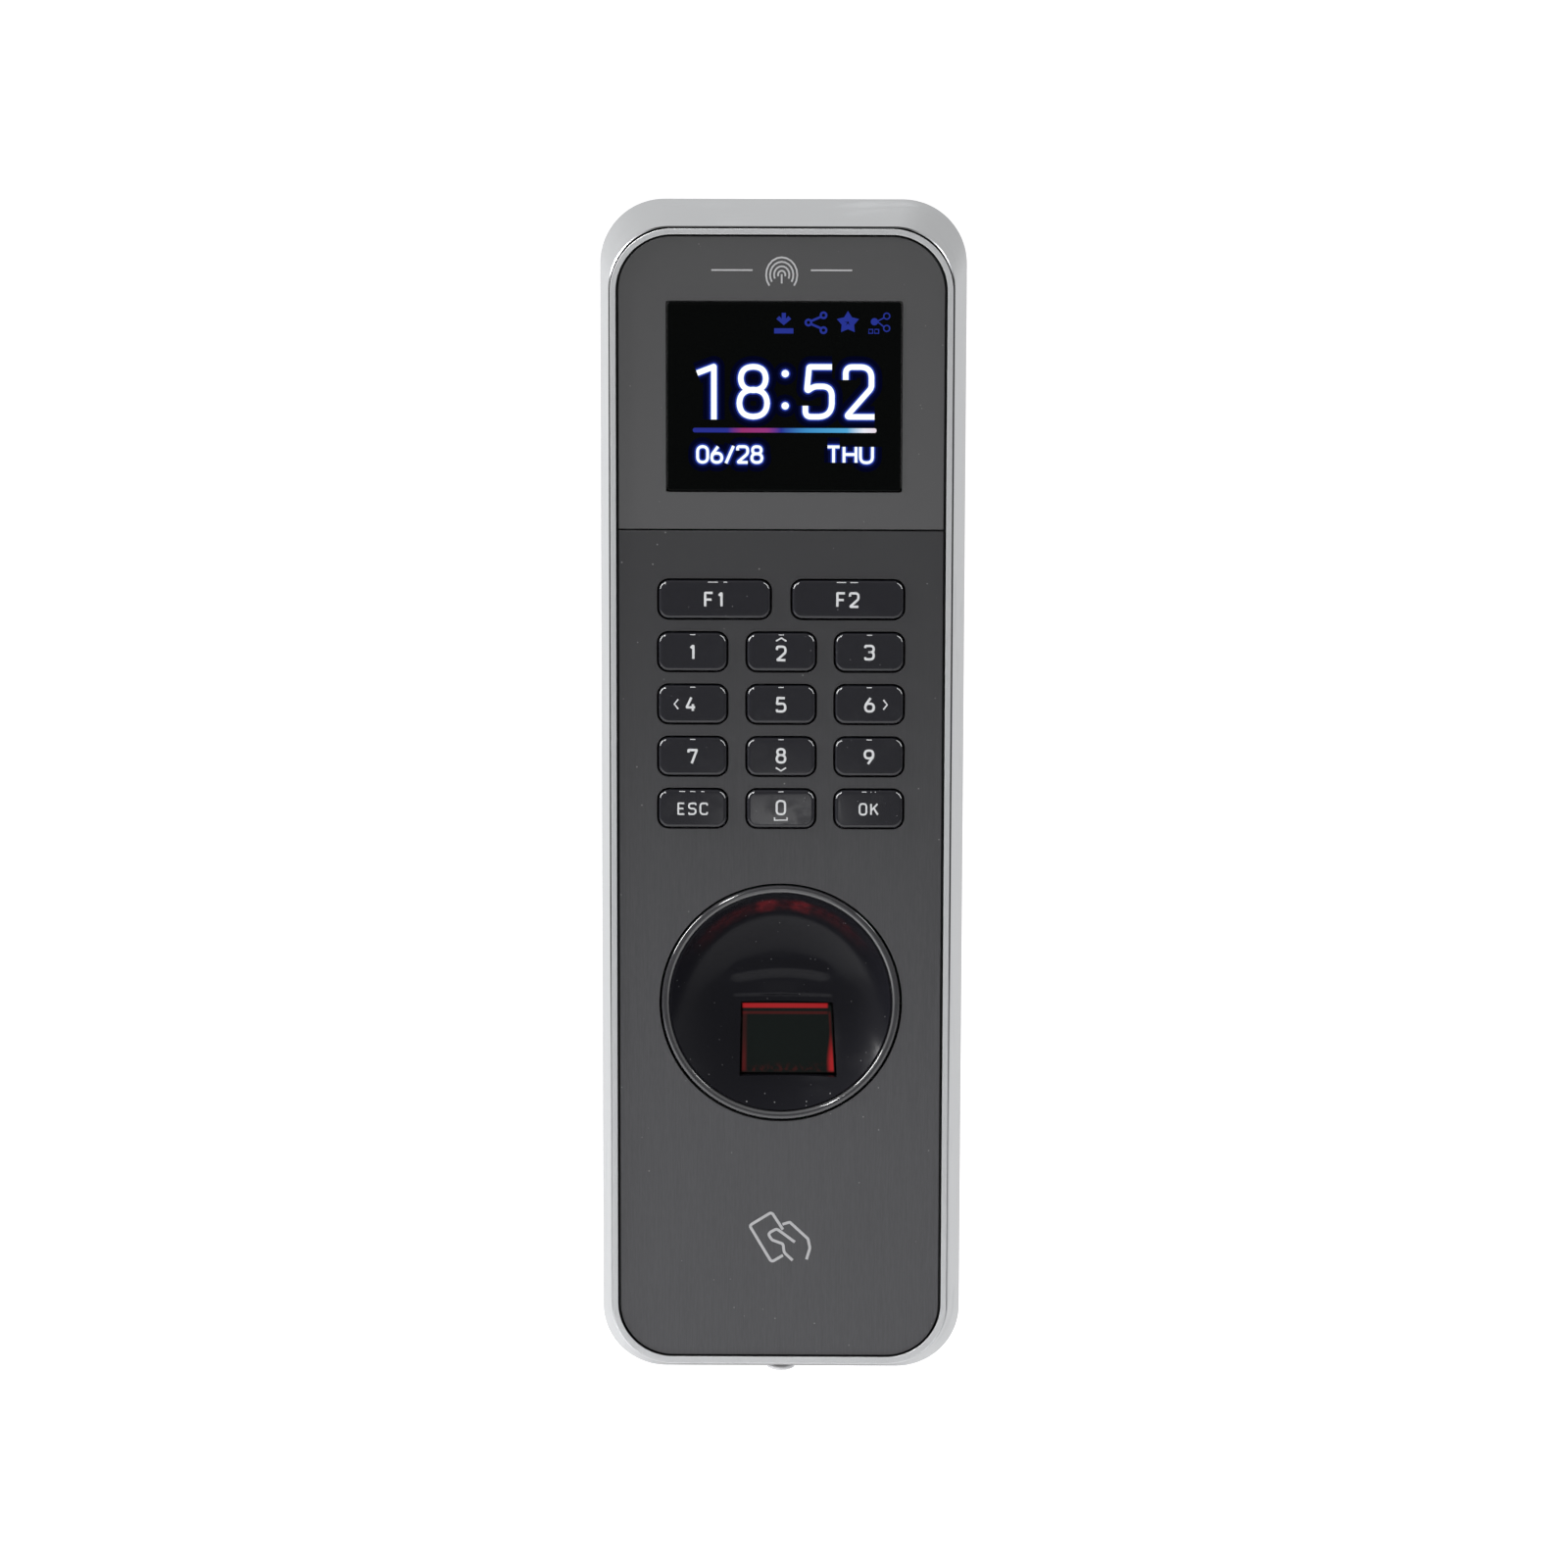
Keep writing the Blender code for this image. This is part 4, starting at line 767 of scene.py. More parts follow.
# ------------------------------------------------------------------ strokes for figures and signs
ROUND = 1.0
SHARP = 0.0
LOOP = "loop"
LINE = "line"
GLYPHS = {
    "0": [(LOOP, [(0, 0, 1), (1, 0, 1), (1, 1, 1), (0, 1, 1)])],
    "1": [(LINE, [(0.18, 0.80, 0), (0.62, 1, 0), (0.62, 0, 0)])],
    "2": [(LINE, [(0, 0.76, 0), (0, 1, 1), (1, 1, 1), (1, 0.56, 1), (0, 0, 0), (1, 0, 0)])],
    "3": [(LINE, [(0, 0.84, 0), (0, 1, 1), (1, 1, 1), (1, 0.54, 1), (0.36, 0.54, 0)]),
          (LINE, [(0.36, 0.54, 0), (1, 0.54, 1), (1, 0, 1), (0, 0, 1), (0, 0.16, 0)])],
    "4": [(LINE, [(0.56, 1, 0), (0, 0.26, 0), (1, 0.26, 0)]),
          (LINE, [(0.74, 0.50, 0), (0.74, 0, 0)])],
    "5": [(LINE, [(0.94, 1, 0), (0.08, 1, 0), (0.02, 0.56, 0), (1, 0.60, 1), (1, 0, 1), (0, 0, 1),
                  (0, 0.16, 0)])],
    "6": [(LOOP, [(0, 0, 1), (1, 0, 1), (1, 0.58, 1), (0, 0.58, 1)]),
          (LINE, [(0.01, 0.34, 0), (0.06, 0.52, 0), (0.62, 1, 0)])],
    "7": [(LINE, [(0, 0.82, 0), (0, 1, 0), (1, 1, 0), (0.38, 0, 0)])],
    "8": [(LOOP, [(0, 0, 1), (1, 0, 1), (1, 0.55, 1), (0, 0.55, 1)]),
          (LOOP, [(0.07, 0.55, 1), (0.93, 0.55, 1), (0.93, 1, 1), (0.07, 1, 1)])],
    "9": [(LOOP, [(0, 0.42, 1), (1, 0.42, 1), (1, 1, 1), (0, 1, 1)]),
          (LINE, [(0.99, 0.66, 0), (0.94, 0.48, 0), (0.38, 0, 0)])],
    "F": [(LINE, [(0, 0, 0), (0, 1, 0), (1, 1, 0)]), (LINE, [(0, 0.50, 0), (0.86, 0.50, 0)])],
    "E": [(LINE, [(1, 1, 0), (0, 1, 0), (0, 0, 0), (1, 0, 0)]),
          (LINE, [(0, 0.52, 0), (0.86, 0.52, 0)])],
    "S": [(LINE, [(1, 0.84, 0), (1, 1, 1), (0, 1, 1), (0, 0.52, 1), (1, 0.52, 1), (1, 0, 1),
                  (0, 0, 1), (0, 0.16, 0)])],
    "C": [(LINE, [(1, 0.80, 0), (1, 1, 1), (0, 1, 1), (0, 0, 1), (1, 0, 1), (1, 0.20, 0)])],
    "O": [(LOOP, [(0, 0, 1), (1, 0, 1), (1, 1, 1), (0, 1, 1)])],
    "K": [(LINE, [(0, 0, 0), (0, 1, 0)]), (LINE, [(0.95, 1, 0), (0.02, 0.40, 0)]),
          (LINE, [(0.38, 0.62, 0), (1, 0, 0)])],
    "T": [(LINE, [(0, 1, 0), (1, 1, 0)]), (LINE, [(0.5, 1, 0), (0.5, 0, 0)])],
    "H": [(LINE, [(0, 0, 0), (0, 1, 0)]), (LINE, [(1, 0, 0), (1, 1, 0)]),
          (LINE, [(0, 0.52, 0), (1, 0.52, 0)])],
    "U": [(LINE, [(0, 1, 0), (0, 0, 1), (1, 0, 1), (1, 1, 0)])],
    "/": [(LINE, [(0, -0.06, 0), (1, 1.04, 0)])],
    ":": [(LINE, [(0.5, 0.16, 0), (0.5, 0.20, 0)]), (LINE, [(0.5, 0.72, 0), (0.5, 0.76, 0)])],
}
CLOCK_GLYPHS = {
    "1": [(LINE, [(0, 0.87, 0), (1, 1, 0), (1, -0.06, 0)])],
    "8": [(LOOP, [(0, 0, 1), (1, 0, 1), (1, 0.54, 1), (0, 0.54, 1)]),
          (LOOP, [(0.05, 0.53, 1), (0.95, 0.53, 1), (0.95, 1, 1), (0.05, 1, 1)])],
    "5": [(LINE, [(1, 1, 0), (0.14, 1, 0), (0.05, 0.50, 0), (0.30, 0.61, 1), (1, 0.61, 1),
                  (1, 0, 1), (0, 0, 1), (0, 0.22, 0)])],
    "2": [(LINE, [(0.02, 0.74, 0), (0.02, 1, 1), (1, 1, 1), (1, 0.58, 0.6), (0.04, 0, 0),
                  (1.12, 0, 0)])],
}
NARROW = {"1": 0.72, "/": 0.75, ":": 0.30, "E": 0.88, "F": 0.88}


def rounded_line(points, closed, radius, steps=5):
    """Turns (x, z, share) points into a line whose corners are arcs of share times the radius."""
    line = []
    count = len(points)
    for i, (x, z, share) in enumerate(points):
        here = Vector((x, z))
        inner = closed or 0 < i < count - 1
        if not inner:
            line.append(here)
            continue
        share = max(share, 0.12)
        before = Vector(points[i - 1][:2])
        after = Vector(points[(i + 1) % count][:2])
        to_before = before - here
        to_after = after - here
        angle = to_before.angle(to_after)
        reach = min(radius * share / math.tan(angle / 2), to_before.length / 2,
                    to_after.length / 2)
        start = here + to_before.normalized() * reach
        end = here + to_after.normalized() * reach
        for step in range(steps + 1):
            t = step / steps
            line.append((1 - t) ** 2 * start + 2 * t * (1 - t) * (here * 0.92 + (start + end) * 0.04)
                        + t ** 2 * end)
    return line


def draw(name, strokes, width, y, thickness=0.02 * MM):
    """One flat mesh of (closed, points) strokes of constant width, at one depth."""
    curve = bpy.data.curves.new(name, "CURVE")
    curve.dimensions = "3D"
    curve.bevel_depth = width / 2
    curve.bevel_resolution = 2
    curve.use_fill_caps = True
    for closed, points in strokes:
        spline = curve.splines.new("POLY")
        spline.points.add(len(points) - 1)
        for point, (x, z) in zip(spline.points, points):
            point.co = (x, 0.0, z, 1.0)
        spline.use_cyclic_u = closed
    obj = bpy.data.objects.new(name, curve)
    bpy.context.scene.collection.objects.link(obj)
    only(obj)
    bpy.ops.object.convert(target="MESH")
    obj = bpy.context.object
    obj.scale = (1.0, thickness / width, 1.0)
    obj.location = (0.0, y, 0.0)
    bpy.ops.object.transform_apply(location=True, rotation=True, scale=True)
    obj.data.name = name
    bpy.ops.object.shade_smooth_by_angle(angle=math.radians(60))
    return obj


def glyph_strokes(text, centre, height, stroke, ratio=0.60, gap=0.34, curve=0.42):
    """Strokes of a word: height is over all, ratio the figures' width, gap the space between."""
    tall = height - stroke
    wide = tall * ratio
    advance = wide * gap + stroke
    total = sum(wide * NARROW.get(c, 1.0) for c in text) + advance * (len(text) - 1)
    x = centre[0] - total / 2
    z = centre[1] - tall / 2
    strokes = []
    for character in text:
        own = wide * NARROW.get(character, 1.0)
        for kind, points in GLYPHS[character]:
            placed = [(x + px * own, z + pz * tall, share) for px, pz, share in points]
            strokes.append((kind == LOOP, rounded_line(placed, kind == LOOP, wide * curve)))
        x += own + advance
    return strokes


def dot(centre, radius, steps=12):
    """Closed round stroke."""
    angles = [2 * math.pi * step / steps for step in range(steps)]
    return (True, [Vector((centre[0] + radius * math.cos(a), centre[1] + radius * math.sin(a)))
                   for a in angles])


def sign(kind, centre, size, points, radius=0.0):
    """Strokes of a small sign from points in a unit square about its centre."""
    placed = [(centre[0] + x * size, centre[1] + z * size, share) for x, z, share in points]
    return (kind == LOOP, rounded_line(placed, kind == LOOP, radius))


def arc_line(centre, radius, start, end, steps=14, squash=1.0):
    angles = [math.radians(start + (end - start) * step / steps) for step in range(steps + 1)]
    return (False, [Vector((centre[0] + radius * math.cos(a),
                            centre[1] + radius * squash * math.sin(a))) for a in angles])


# ------------------------------------------------------------------ casing
class PieceOperator:
    bl_options = {"REGISTER", "UNDO"}


RIM_SIDE = 0.14 * MM          # how far the housing's rim stands outside the ring's CAD outline
RIM_BOTTOM = 0.12 * MM
RIM_TOP = 0.06 * MM
RIM_LAND = 0.02 * MM          # flat left between the rim's chamfer and the groove
GROOVE_DEPTH = 5.0 * MM
REAR_LIFT = 0.57 * MM         # the housing's lowest edge above the CAD node's
HOUSING_WALL = 2.0 * MM
REAR_LAND = 0.35 * MM
LEDGE_DEPTH = 9.9 * MM        # from the wall to the ledge that the rear cover sits on
LEDGE_WIDTH = 6.0 * MM
LEDGE_THICKNESS = 2.0 * MM
HOOK_PLACE = 11.5 * MM        # each hook's distance from the middle
HOOK_HALF_WIDTH = 3.5 * MM
HOOK_FRONT = 35.8 * MM        # depths behind the front of the ring
HOOK_BACK = 37.4 * MM
LOCK_BORE_RADIUS = 2.7 * MM
LOCK_BORE_LENGTH = 8.0 * MM


class TERMINAL_OT_housing(PieceOperator, bpy.types.Operator):
    """Silver housing: a flared shell with a ledge for the rear cover and hooks for the bracket"""
    bl_idname = "terminal.housing"
    bl_label = "Housing"

    def execute(self, context):
        s = sizes()
        low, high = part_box("main_housing")
        rear = (low.x, high.x, low.z + REAR_LIFT, high.z)
        x0, x1, z0, z1 = face_box("front_frame")
        rim = (x0 - RIM_SIDE, x1 + RIM_SIDE, z0 - RIM_BOTTOM, z1 + RIM_TOP)
        shell = sheet("housing_shell", rear, high.y, s.rear_radius, s.rear_radius, 24)
        push(low.y + s.rim_chamfer - high.y)
        stretch(rear, rim)
        close_rear()
        pick("FACE", caps(1))
        inset(REAR_LAND)
        inset(HOUSING_WALL - REAR_LAND)
        push(-LEDGE_DEPTH)
        share = LEDGE_DEPTH / (high.y - low.y - s.rim_chamfer)
        slanted = tuple(back + (front - back) * share for back, front in zip(rear, rim))
        stretch(moved_in(rear, HOUSING_WALL), moved_in(slanted, HOUSING_WALL))
        inset(LEDGE_WIDTH)
        push(-LEDGE_THICKNESS)
        pick("FACE", caps(-1))
        inset(s.rim_chamfer, -s.rim_chamfer)
        inset(RIM_LAND)
        push(GROOVE_DEPTH)
        open_through()
        half_depth = (low.y + high.y) / 2
        pick("EDGE", lambda edge: edge.is_manifold and min(v.co.y for v in edge.verts) > half_depth
             and edge.calc_face_angle(0.0) > math.radians(50))
        bpy.ops.mesh.bevel(offset=s.housing_edge, segments=3, affect="EDGES")
        end_edit(30)
        cut(shell, self.lock_screw_bore())
        bpy.ops.object.shade_smooth_by_angle(angle=math.radians(30))
        flatten_shading(shell)
        dress(shell, silver_paint(), TERMINAL, "housing_silver", "main_housing")

        hooks = []
        hook_top = high.z - 1.9 * MM
        hook_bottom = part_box("wall_bracket")[1].z - 2.2 * MM
        for side in (-1, 1):
            centre_x = side * HOOK_PLACE
            hooks.append(slab("hook", (centre_x - HOOK_HALF_WIDTH, centre_x + HOOK_HALF_WIDTH,
                                       hook_bottom, hook_top),
                              at_depth(HOOK_FRONT), at_depth(HOOK_BACK), 0.0, 0.8 * MM, 4))
        ribs = join("housing_hooks", hooks)
        round_edges(ribs, 0.2 * MM, 2)
        dress(ribs, bpy.data.materials["silver_paint"], TERMINAL, "housing_silver")
        return {"FINISHED"}

    @staticmethod
    def lock_screw_bore():
        screw_low, screw_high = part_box("bracket_lock_screw")
        bpy.ops.object.select_all(action="DESELECT")
        bpy.ops.mesh.primitive_cylinder_add(
            vertices=40, radius=LOCK_BORE_RADIUS, depth=LOCK_BORE_LENGTH,
            location=((screw_low.x + screw_high.x) / 2, (screw_low.y + screw_high.y) / 2,
                      screw_low.z))
        return bpy.context.object


RING_SIDE_GAP = 0.16 * MM     # how far the ring stands inside its CAD outline
RING_BOTTOM_GAP = 0.07 * MM
RING_TOP_GAP = 0.27 * MM
RING_LIP = 0.8 * MM           # thickness of the ring in front of the tray
RING_FOOT_EXTRA = 0.26 * MM   # the ring is this much wider along its bottom
TRAY_DEPTH = 1.75 * MM
TRAY_SHELF = 4.8 * MM
SKIRT_STEP = 0.64 * MM
SKIRT_DEPTH = 5.2 * MM
SKIRT_WALL = 1.5 * MM
TRAY_BACK_RISE = 2.7 * MM
TRAY_BACK_SHELF = 3.6 * MM


class TERMINAL_OT_ring(PieceOperator, bpy.types.Operator):
    """Satin silver ring with the tray rim behind it"""
    bl_idname = "terminal.ring"
    bl_label = "Front ring"

    def execute(self, context):
        s = sizes()
        x0, x1, z0, z1 = face_box("front_frame")
        box = (x0 + RING_SIDE_GAP, x1 - RING_SIDE_GAP, z0 + RING_BOTTOM_GAP, z1 - RING_TOP_GAP)
        ring = sheet("silver_ring", box, at_depth(RING_LIP), s.ring_radius, s.ring_radius, 24)
        push(-RING_LIP)
        close_rear()
        pick("FACE", caps(-1))
        inset(s.ring_width)
        opening = moved_in(box, s.ring_width)
        stretch(opening, (opening[0], opening[1], opening[2] + RING_FOOT_EXTRA, opening[3]))
        push(TRAY_DEPTH)
        inset(TRAY_SHELF)
        pick("FACE", caps(1))
        inset(SKIRT_STEP)
        push(SKIRT_DEPTH)
        inset(SKIRT_WALL)
        push(-TRAY_BACK_RISE)
        inset(TRAY_BACK_SHELF)
        open_through()
        end_edit()
        round_edges(ring, 0.07 * MM, 2, 60)
        flatten_shading(ring)
        dress(ring, ring_satin(), TERMINAL, "ring_silver", "front_frame")
        return {"FINISHED"}


PLATE_SIDE_EXTRA = 0.06 * MM  # how far the plates reach past their CAD outlines
PLATE_FOOT_EXTRA = 0.10 * MM
PLATE_CORNER_STEP = 0.4 * MM
WINDOW_OVERLAP = 1.55 * MM    # the panel covers this much of the window's edge
KEY_HOLE_STEP = 0.25 * MM


def plate_depths():
    low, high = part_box("keypad_plate")
    return low.y, high.y


def plate_corner():
    return sizes().ring_radius - sizes().ring_width - PLATE_CORNER_STEP


class TERMINAL_OT_display_panel(PieceOperator, bpy.types.Operator):
    """Dark satin panel round the display"""
    bl_idname = "terminal.display_panel"
    bl_label = "Display panel"

    def execute(self, context):
        front, back = plate_depths()
        x0, x1, z0, z1 = face_box("display_panel")
        outline = (x0 - PLATE_SIDE_EXTRA, x1 + PLATE_SIDE_EXTRA, z0, z1)
        panel = slab("satin_panel", outline, front, back, plate_corner(), 0.0, 24)
        window = face_box("display_window", WINDOW_OVERLAP)
        cut(panel, slab("cutter", window, front - MM, back + MM, 0.3 * MM, 0.3 * MM, 3))
        round_edges(panel, sizes().plate_edge, 2)
        flatten_shading(panel)
        dress(panel, dark_satin(), TERMINAL, "panel_dark", "display_panel")
        return {"FINISHED"}


class TERMINAL_OT_keypad_plate(PieceOperator, bpy.types.Operator):
    """Dark plate, brushed along its height, cut out for the keys and the sensor"""
    bl_idname = "terminal.keypad_plate"
    bl_label = "Keypad plate"

    def execute(self, context):
        s = sizes()
        front, back = plate_depths()
        x0, x1, z0, z1 = face_box("keypad_plate")
        outline = (x0 - PLATE_SIDE_EXTRA, x1 + PLATE_SIDE_EXTRA, z0 - PLATE_FOOT_EXTRA, z1)
        plate = slab("brushed_plate", outline, front, back, 0.0, plate_corner(), 24)
        cutters = []
        for label in KEY_LABELS:
            hole = face_box("key_" + label, KEY_HOLE_STEP)
            corner = s.key_radius + KEY_HOLE_STEP
            cutters.append(slab("cutter", hole, front - MM, back + MM, corner, corner, 8))
        cutters.append(rod("cutter", RECESS, RECESS_HOLE_RADIUS, front - MM, back + MM, 160))
        cut(plate, join("cutters", cutters))
        round_edges(plate, s.plate_edge, 2)
        flatten_shading(plate)
        dress(plate, dark_brushed(), TERMINAL, "brushed_dark", "keypad_plate")
        return {"FINISHED"}


# ------------------------------------------------------------------ keys
CAP_STEP = 0.5 * MM           # a cap's clearance inside its CAD outline
CROWN_HEIGHT = 0.46 * MM
CROWN = ((0.06, 0.17), (0.12, 0.14), (0.17, 0.09), (0.20, 0.03))    # (inward, forward) steps


def cap_box(label):
    return face_box("key_" + label, CAP_STEP)


class TERMINAL_OT_keys(PieceOperator, bpy.types.Operator):
    """Fourteen gloss caps with crowned edges"""
    bl_idname = "terminal.keys"
    bl_label = "Keys"

    def execute(self, context):
        s = sizes()
        material = key_gloss()
        for label in KEY_LABELS:
            node = "key_" + label
            low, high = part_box(node)
            key = sheet("cap_" + label, cap_box(label), high.y, s.key_radius, s.key_radius, 8)
            push(low.y + CROWN_HEIGHT - high.y)
            for width, rise in CROWN:
                inset(width * MM, -rise * MM)
            close_rear()
            end_edit(75)
            flatten_shading(key)
            dress(key, material, node + "_cap", "key_black", node)
        return {"FINISHED"}


# The glints and corner lines below are painted highlights, white strokes drawn on the caps' upper
# edges.
PRINT_DEPTH = 0.018 * MM      # depths behind the front of a key's CAD node
GLINT_DEPTH = 0.07 * MM
CORNER_HIGHLIGHT_DEPTH = 0.11 * MM
GLINT_WIDTH = 0.13 * MM
CORNER_HIGHLIGHT_WIDTH = 0.11 * MM
ARROW_WIDTH = 0.24 * MM
STROKE_SHARES = {"esc": 0.74, "ok": 0.74, "0": 0.86}


class TERMINAL_OT_legends(PieceOperator, bpy.types.Operator):
    """Numbers and signs on the keys, with painted highlights: bright glints and corner lines along
    the caps' upper edges
    """
    bl_idname = "terminal.legends"
    bl_label = "Legends"

    arrows = {
        "2": ((0.0, 1.96), ((-0.78, -0.24, 0), (0.0, 0.24, 0), (0.78, -0.24, 0))),
        "8": ((0.0, -1.90), ((-0.78, 0.24, 0), (0.0, -0.24, 0), (0.78, 0.24, 0))),
        "4": ((-2.50, 0.05), ((0.30, 0.75, 0), (-0.30, 0.0, 0), (0.30, -0.75, 0))),
        "6": ((2.45, 0.05), ((-0.30, 0.75, 0), (0.30, 0.0, 0), (-0.30, -0.75, 0))),
        "0": ((0.0, -1.72), ((-0.95, 0.42, 0), (-0.95, 0.0, 0), (0.95, 0.0, 0), (0.95, 0.42, 0))),
    }
    shift = {"4": (-0.28, 0.05), "6": (0.05, 0.05), "0": (0.0, 0.22), "2": (0.0, -0.16),
             "8": (0.0, 0.18)}
    # painted glints: middle and length in millimetres of each short highlight stroke
    glints = {
        "f1": ((-0.25, 1.5), (1.65, 0.55)),
        "f2": ((-1.0, 1.4), (0.95, 1.2)),
        "esc": ((-1.6, 0.9), (0.0, 0.8), (1.55, 0.5)),
        "ok": ((-0.7, 0.7), (0.35, 0.12), (1.0, 0.12)),
    }

    def execute(self, context):
        s = sizes()
        material = legend_print_and_highlights()
        for label in KEY_LABELS:
            node = "key_" + label
            low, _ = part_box(node)
            centre = middle(face_box(node))
            dx, dz = self.shift.get(label, (0.0, 0.0))
            text_centre = (centre[0] + dx * MM, centre[1] + dz * MM)
            height = s.legend_height * (0.84 if label in ("esc", "ok") else 1.0)
            strokes = glyph_strokes(label.upper(), text_centre, height, s.legend_stroke,
                                    ratio=0.62)
            stroke = s.legend_stroke * STROKE_SHARES.get(label, 1.0)
            face = low.y + PRINT_DEPTH
            print_mesh = draw("legend_" + label, strokes, stroke, face)
            thin = self.glint_strokes(label, cap_box(label), centre)
            corner_highlights = self.painted_corner_highlights(cap_box(label), s.key_radius)
            parts = [print_mesh, draw("glint", thin, GLINT_WIDTH, low.y + GLINT_DEPTH),
                     draw("corner_highlights", corner_highlights, CORNER_HIGHLIGHT_WIDTH, low.y + CORNER_HIGHLIGHT_DEPTH)]
            if label in self.arrows:
                (dx, dz), points = self.arrows[label]
                arrow = [sign(LINE, (centre[0] + dx * MM, centre[1] + dz * MM), MM, points)]
                parts.append(draw("arrow", arrow, ARROW_WIDTH, face))
            dress(join("legend_" + label, parts), material, node + "_cap", "key_black")
        return {"FINISHED"}

    @staticmethod
    def painted_corner_highlights(box, radius):
        """Painted highlights: thin bright lines along a cap's two upper corners."""
        reach = radius - 0.22 * MM
        return [arc_line((box[0] + radius, box[3] - radius), reach, 112, 168, 8),
                arc_line((box[1] - radius, box[3] - radius), reach, 14, 66, 8)]

    # Painted glints: short bright strokes just below a cap's upper edge.
    def glint_strokes(self, label, box, centre):
        z = box[3] - 0.26 * MM
        return [(False, [(centre[0] + (x - length / 2) * MM, z),
                         (centre[0] + (x + length / 2) * MM, z)])
                for x, length in self.glints.get(label, ((0.0, 0.8),))]


# ------------------------------------------------------------------ finger sensor
RIDGE_HEIGHT = 0.62 * MM      # the ridge that a fingertip rests against, above the window
RIDGE_WIDTH = 0.90 * MM
RIDGE_HALF_LENGTH = 6.9 * MM
POCKET_DEPTH = 0.35 * MM      # the shallow pocket that the window lies in
POCKET_HALF_SIZE = (7.45 * MM, 6.30 * MM)


def soft_step(distance, width):
    """1 well below no distance and 0 well above it."""
    return 1.0 / (1.0 + math.exp(distance / width))


def bowl_surface(x, z, depth):
    """Depth of the finger bowl below its rim at a place measured from its middle."""
    share = min(math.hypot(x, z) / BOWL_RADIUS, 1.0)
    power = 2.9 + 1.3 * math.sin(math.atan2(z, x))
    fall = depth * (1.0 - share ** power)
    ridge_z = 4.3 * MM - 0.016 * (x - 0.4 * MM) ** 2 / MM
    across = math.exp(-((z - ridge_z) / RIDGE_WIDTH) ** 2)
    along = soft_step(abs(x + 0.1 * MM) - RIDGE_HALF_LENGTH, 0.40 * MM)
    ridge = RIDGE_HEIGHT * across * along
    side = max(abs(x - 0.25 * MM) - POCKET_HALF_SIZE[0], 0.0)
    end = max(abs(z + 6.65 * MM) - POCKET_HALF_SIZE[1], 0.0)
    pocket = POCKET_DEPTH * soft_step(math.hypot(side, end) - 0.25 * MM, 0.10 * MM)
    return fall - ridge + pocket * (1.0 - share)


GUIDE_WIDTH = 1.25 * MM
GUIDE_ROUNDING = 0.58 * MM


class TERMINAL_OT_light_ring(PieceOperator, bpy.types.Operator):
    """Clear light guide round the finger recess"""
    bl_idname = "terminal.light_ring"
    bl_label = "Light ring"

    def execute(self, context):
        low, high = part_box("status_light_ring")
        ring = rod("light_guide_ring", RECESS, (high.x - low.x) / 2, low.y, high.y, 160)
        start_edit()
        pick("FACE", lambda face: len(face.verts) > 4)
        inset(GUIDE_WIDTH)
        open_through()
        end_edit()
        round_edges(ring, GUIDE_ROUNDING, 8)
        dress(ring, light_guide(), TERMINAL, "light_ring", "status_light_ring")
        return {"FINISHED"}


BOWL_RINGS = 56               # rings of faces from the rim to the middle
BOWL_WALL = 1.2 * MM


class TERMINAL_OT_bowl(PieceOperator, bpy.types.Operator):
    """Gloss black finger bowl with a ridge above the sensor window"""
    bl_idname = "terminal.bowl"
    bl_label = "Finger bowl"

    def execute(self, context):
        depth = sizes().bowl_depth
        rim = plate_depths()[0]
        bpy.ops.object.select_all(action="DESELECT")
        bpy.ops.mesh.primitive_circle_add(vertices=160, radius=BOWL_RADIUS, fill_type="NGON",
                                          location=(RECESS[0], rim, RECESS[1]),
                                          rotation=(math.pi / 2, 0.0, 0.0))
        bowl = bpy.context.object
        bowl.name = "finger_bowl"
        bpy.ops.object.transform_apply(location=True, rotation=True, scale=True)
        start_edit()
        pick("FACE", lambda face: True)
        for _ in range(BOWL_RINGS - 1):
            inset(BOWL_RADIUS / BOWL_RINGS)
        bpy.ops.mesh.poke()
        bpy.ops.object.mode_set(mode="OBJECT")
        for v in bowl.data.vertices:
            v.co.y = rim + bowl_surface(v.co.x - RECESS[0], v.co.z - RECESS[1], depth)
        apply_modifier(bowl, "SOLIDIFY", thickness=BOWL_WALL, offset=-1.0)
        start_edit()
        end_edit(60)
        cut(bowl, glass_cutter(0.22 * MM))
        bpy.ops.object.shade_smooth_by_angle(angle=math.radians(30))
        dress(bowl, gloss_black(), TERMINAL, "bowl_black", "sensor_bowl")
        return {"FINISHED"}


def glass_prism(name, grow, front, back):
    """Upright prism with the sensor window's outline, wider at its foot."""
    x0, x1, z0, z1 = face_box("sensor_glass", -grow)
    prism = slab(name, (x0, x1, z0, z1), front, back, 0.0, 0.0)
    for v in prism.data.vertices:
        if v.co.z > (z0 + z1) / 2:
            v.co.x += LEFT_LEAN if v.co.x < (x0 + x1) / 2 else -RIGHT_LEAN
    return prism


def glass_cutter(grow):
    return glass_prism("cutter", grow, at_depth(-MM), at_depth(14.0 * MM))


WINDOW_SINK = 0.75 * MM       # the sensor window lies this far below the bowl's surface


class TERMINAL_OT_glass(PieceOperator, bpy.types.Operator):
    """Sloping sensor window, lit red from inside"""
    bl_idname = "terminal.glass"
    bl_label = "Sensor window"

    def execute(self, context):
        low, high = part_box("sensor_glass")
        glass = glass_prism("sensor_window", 0.0, low.y, high.y)
        face = plate_depths()[0] + WINDOW_SINK
        middle_y = (low.y + high.y) / 2
        depth = sizes().bowl_depth
        for v in glass.data.vertices:
            if v.co.y < middle_y:
                v.co.y = face + bowl_surface(0.0, v.co.z - RECESS[1], depth)
        round_edges(glass, 0.12 * MM, 2)
        dress(glass, sensor_face(), TERMINAL, "sensor_glass", "sensor_glass")
        return {"FINISHED"}


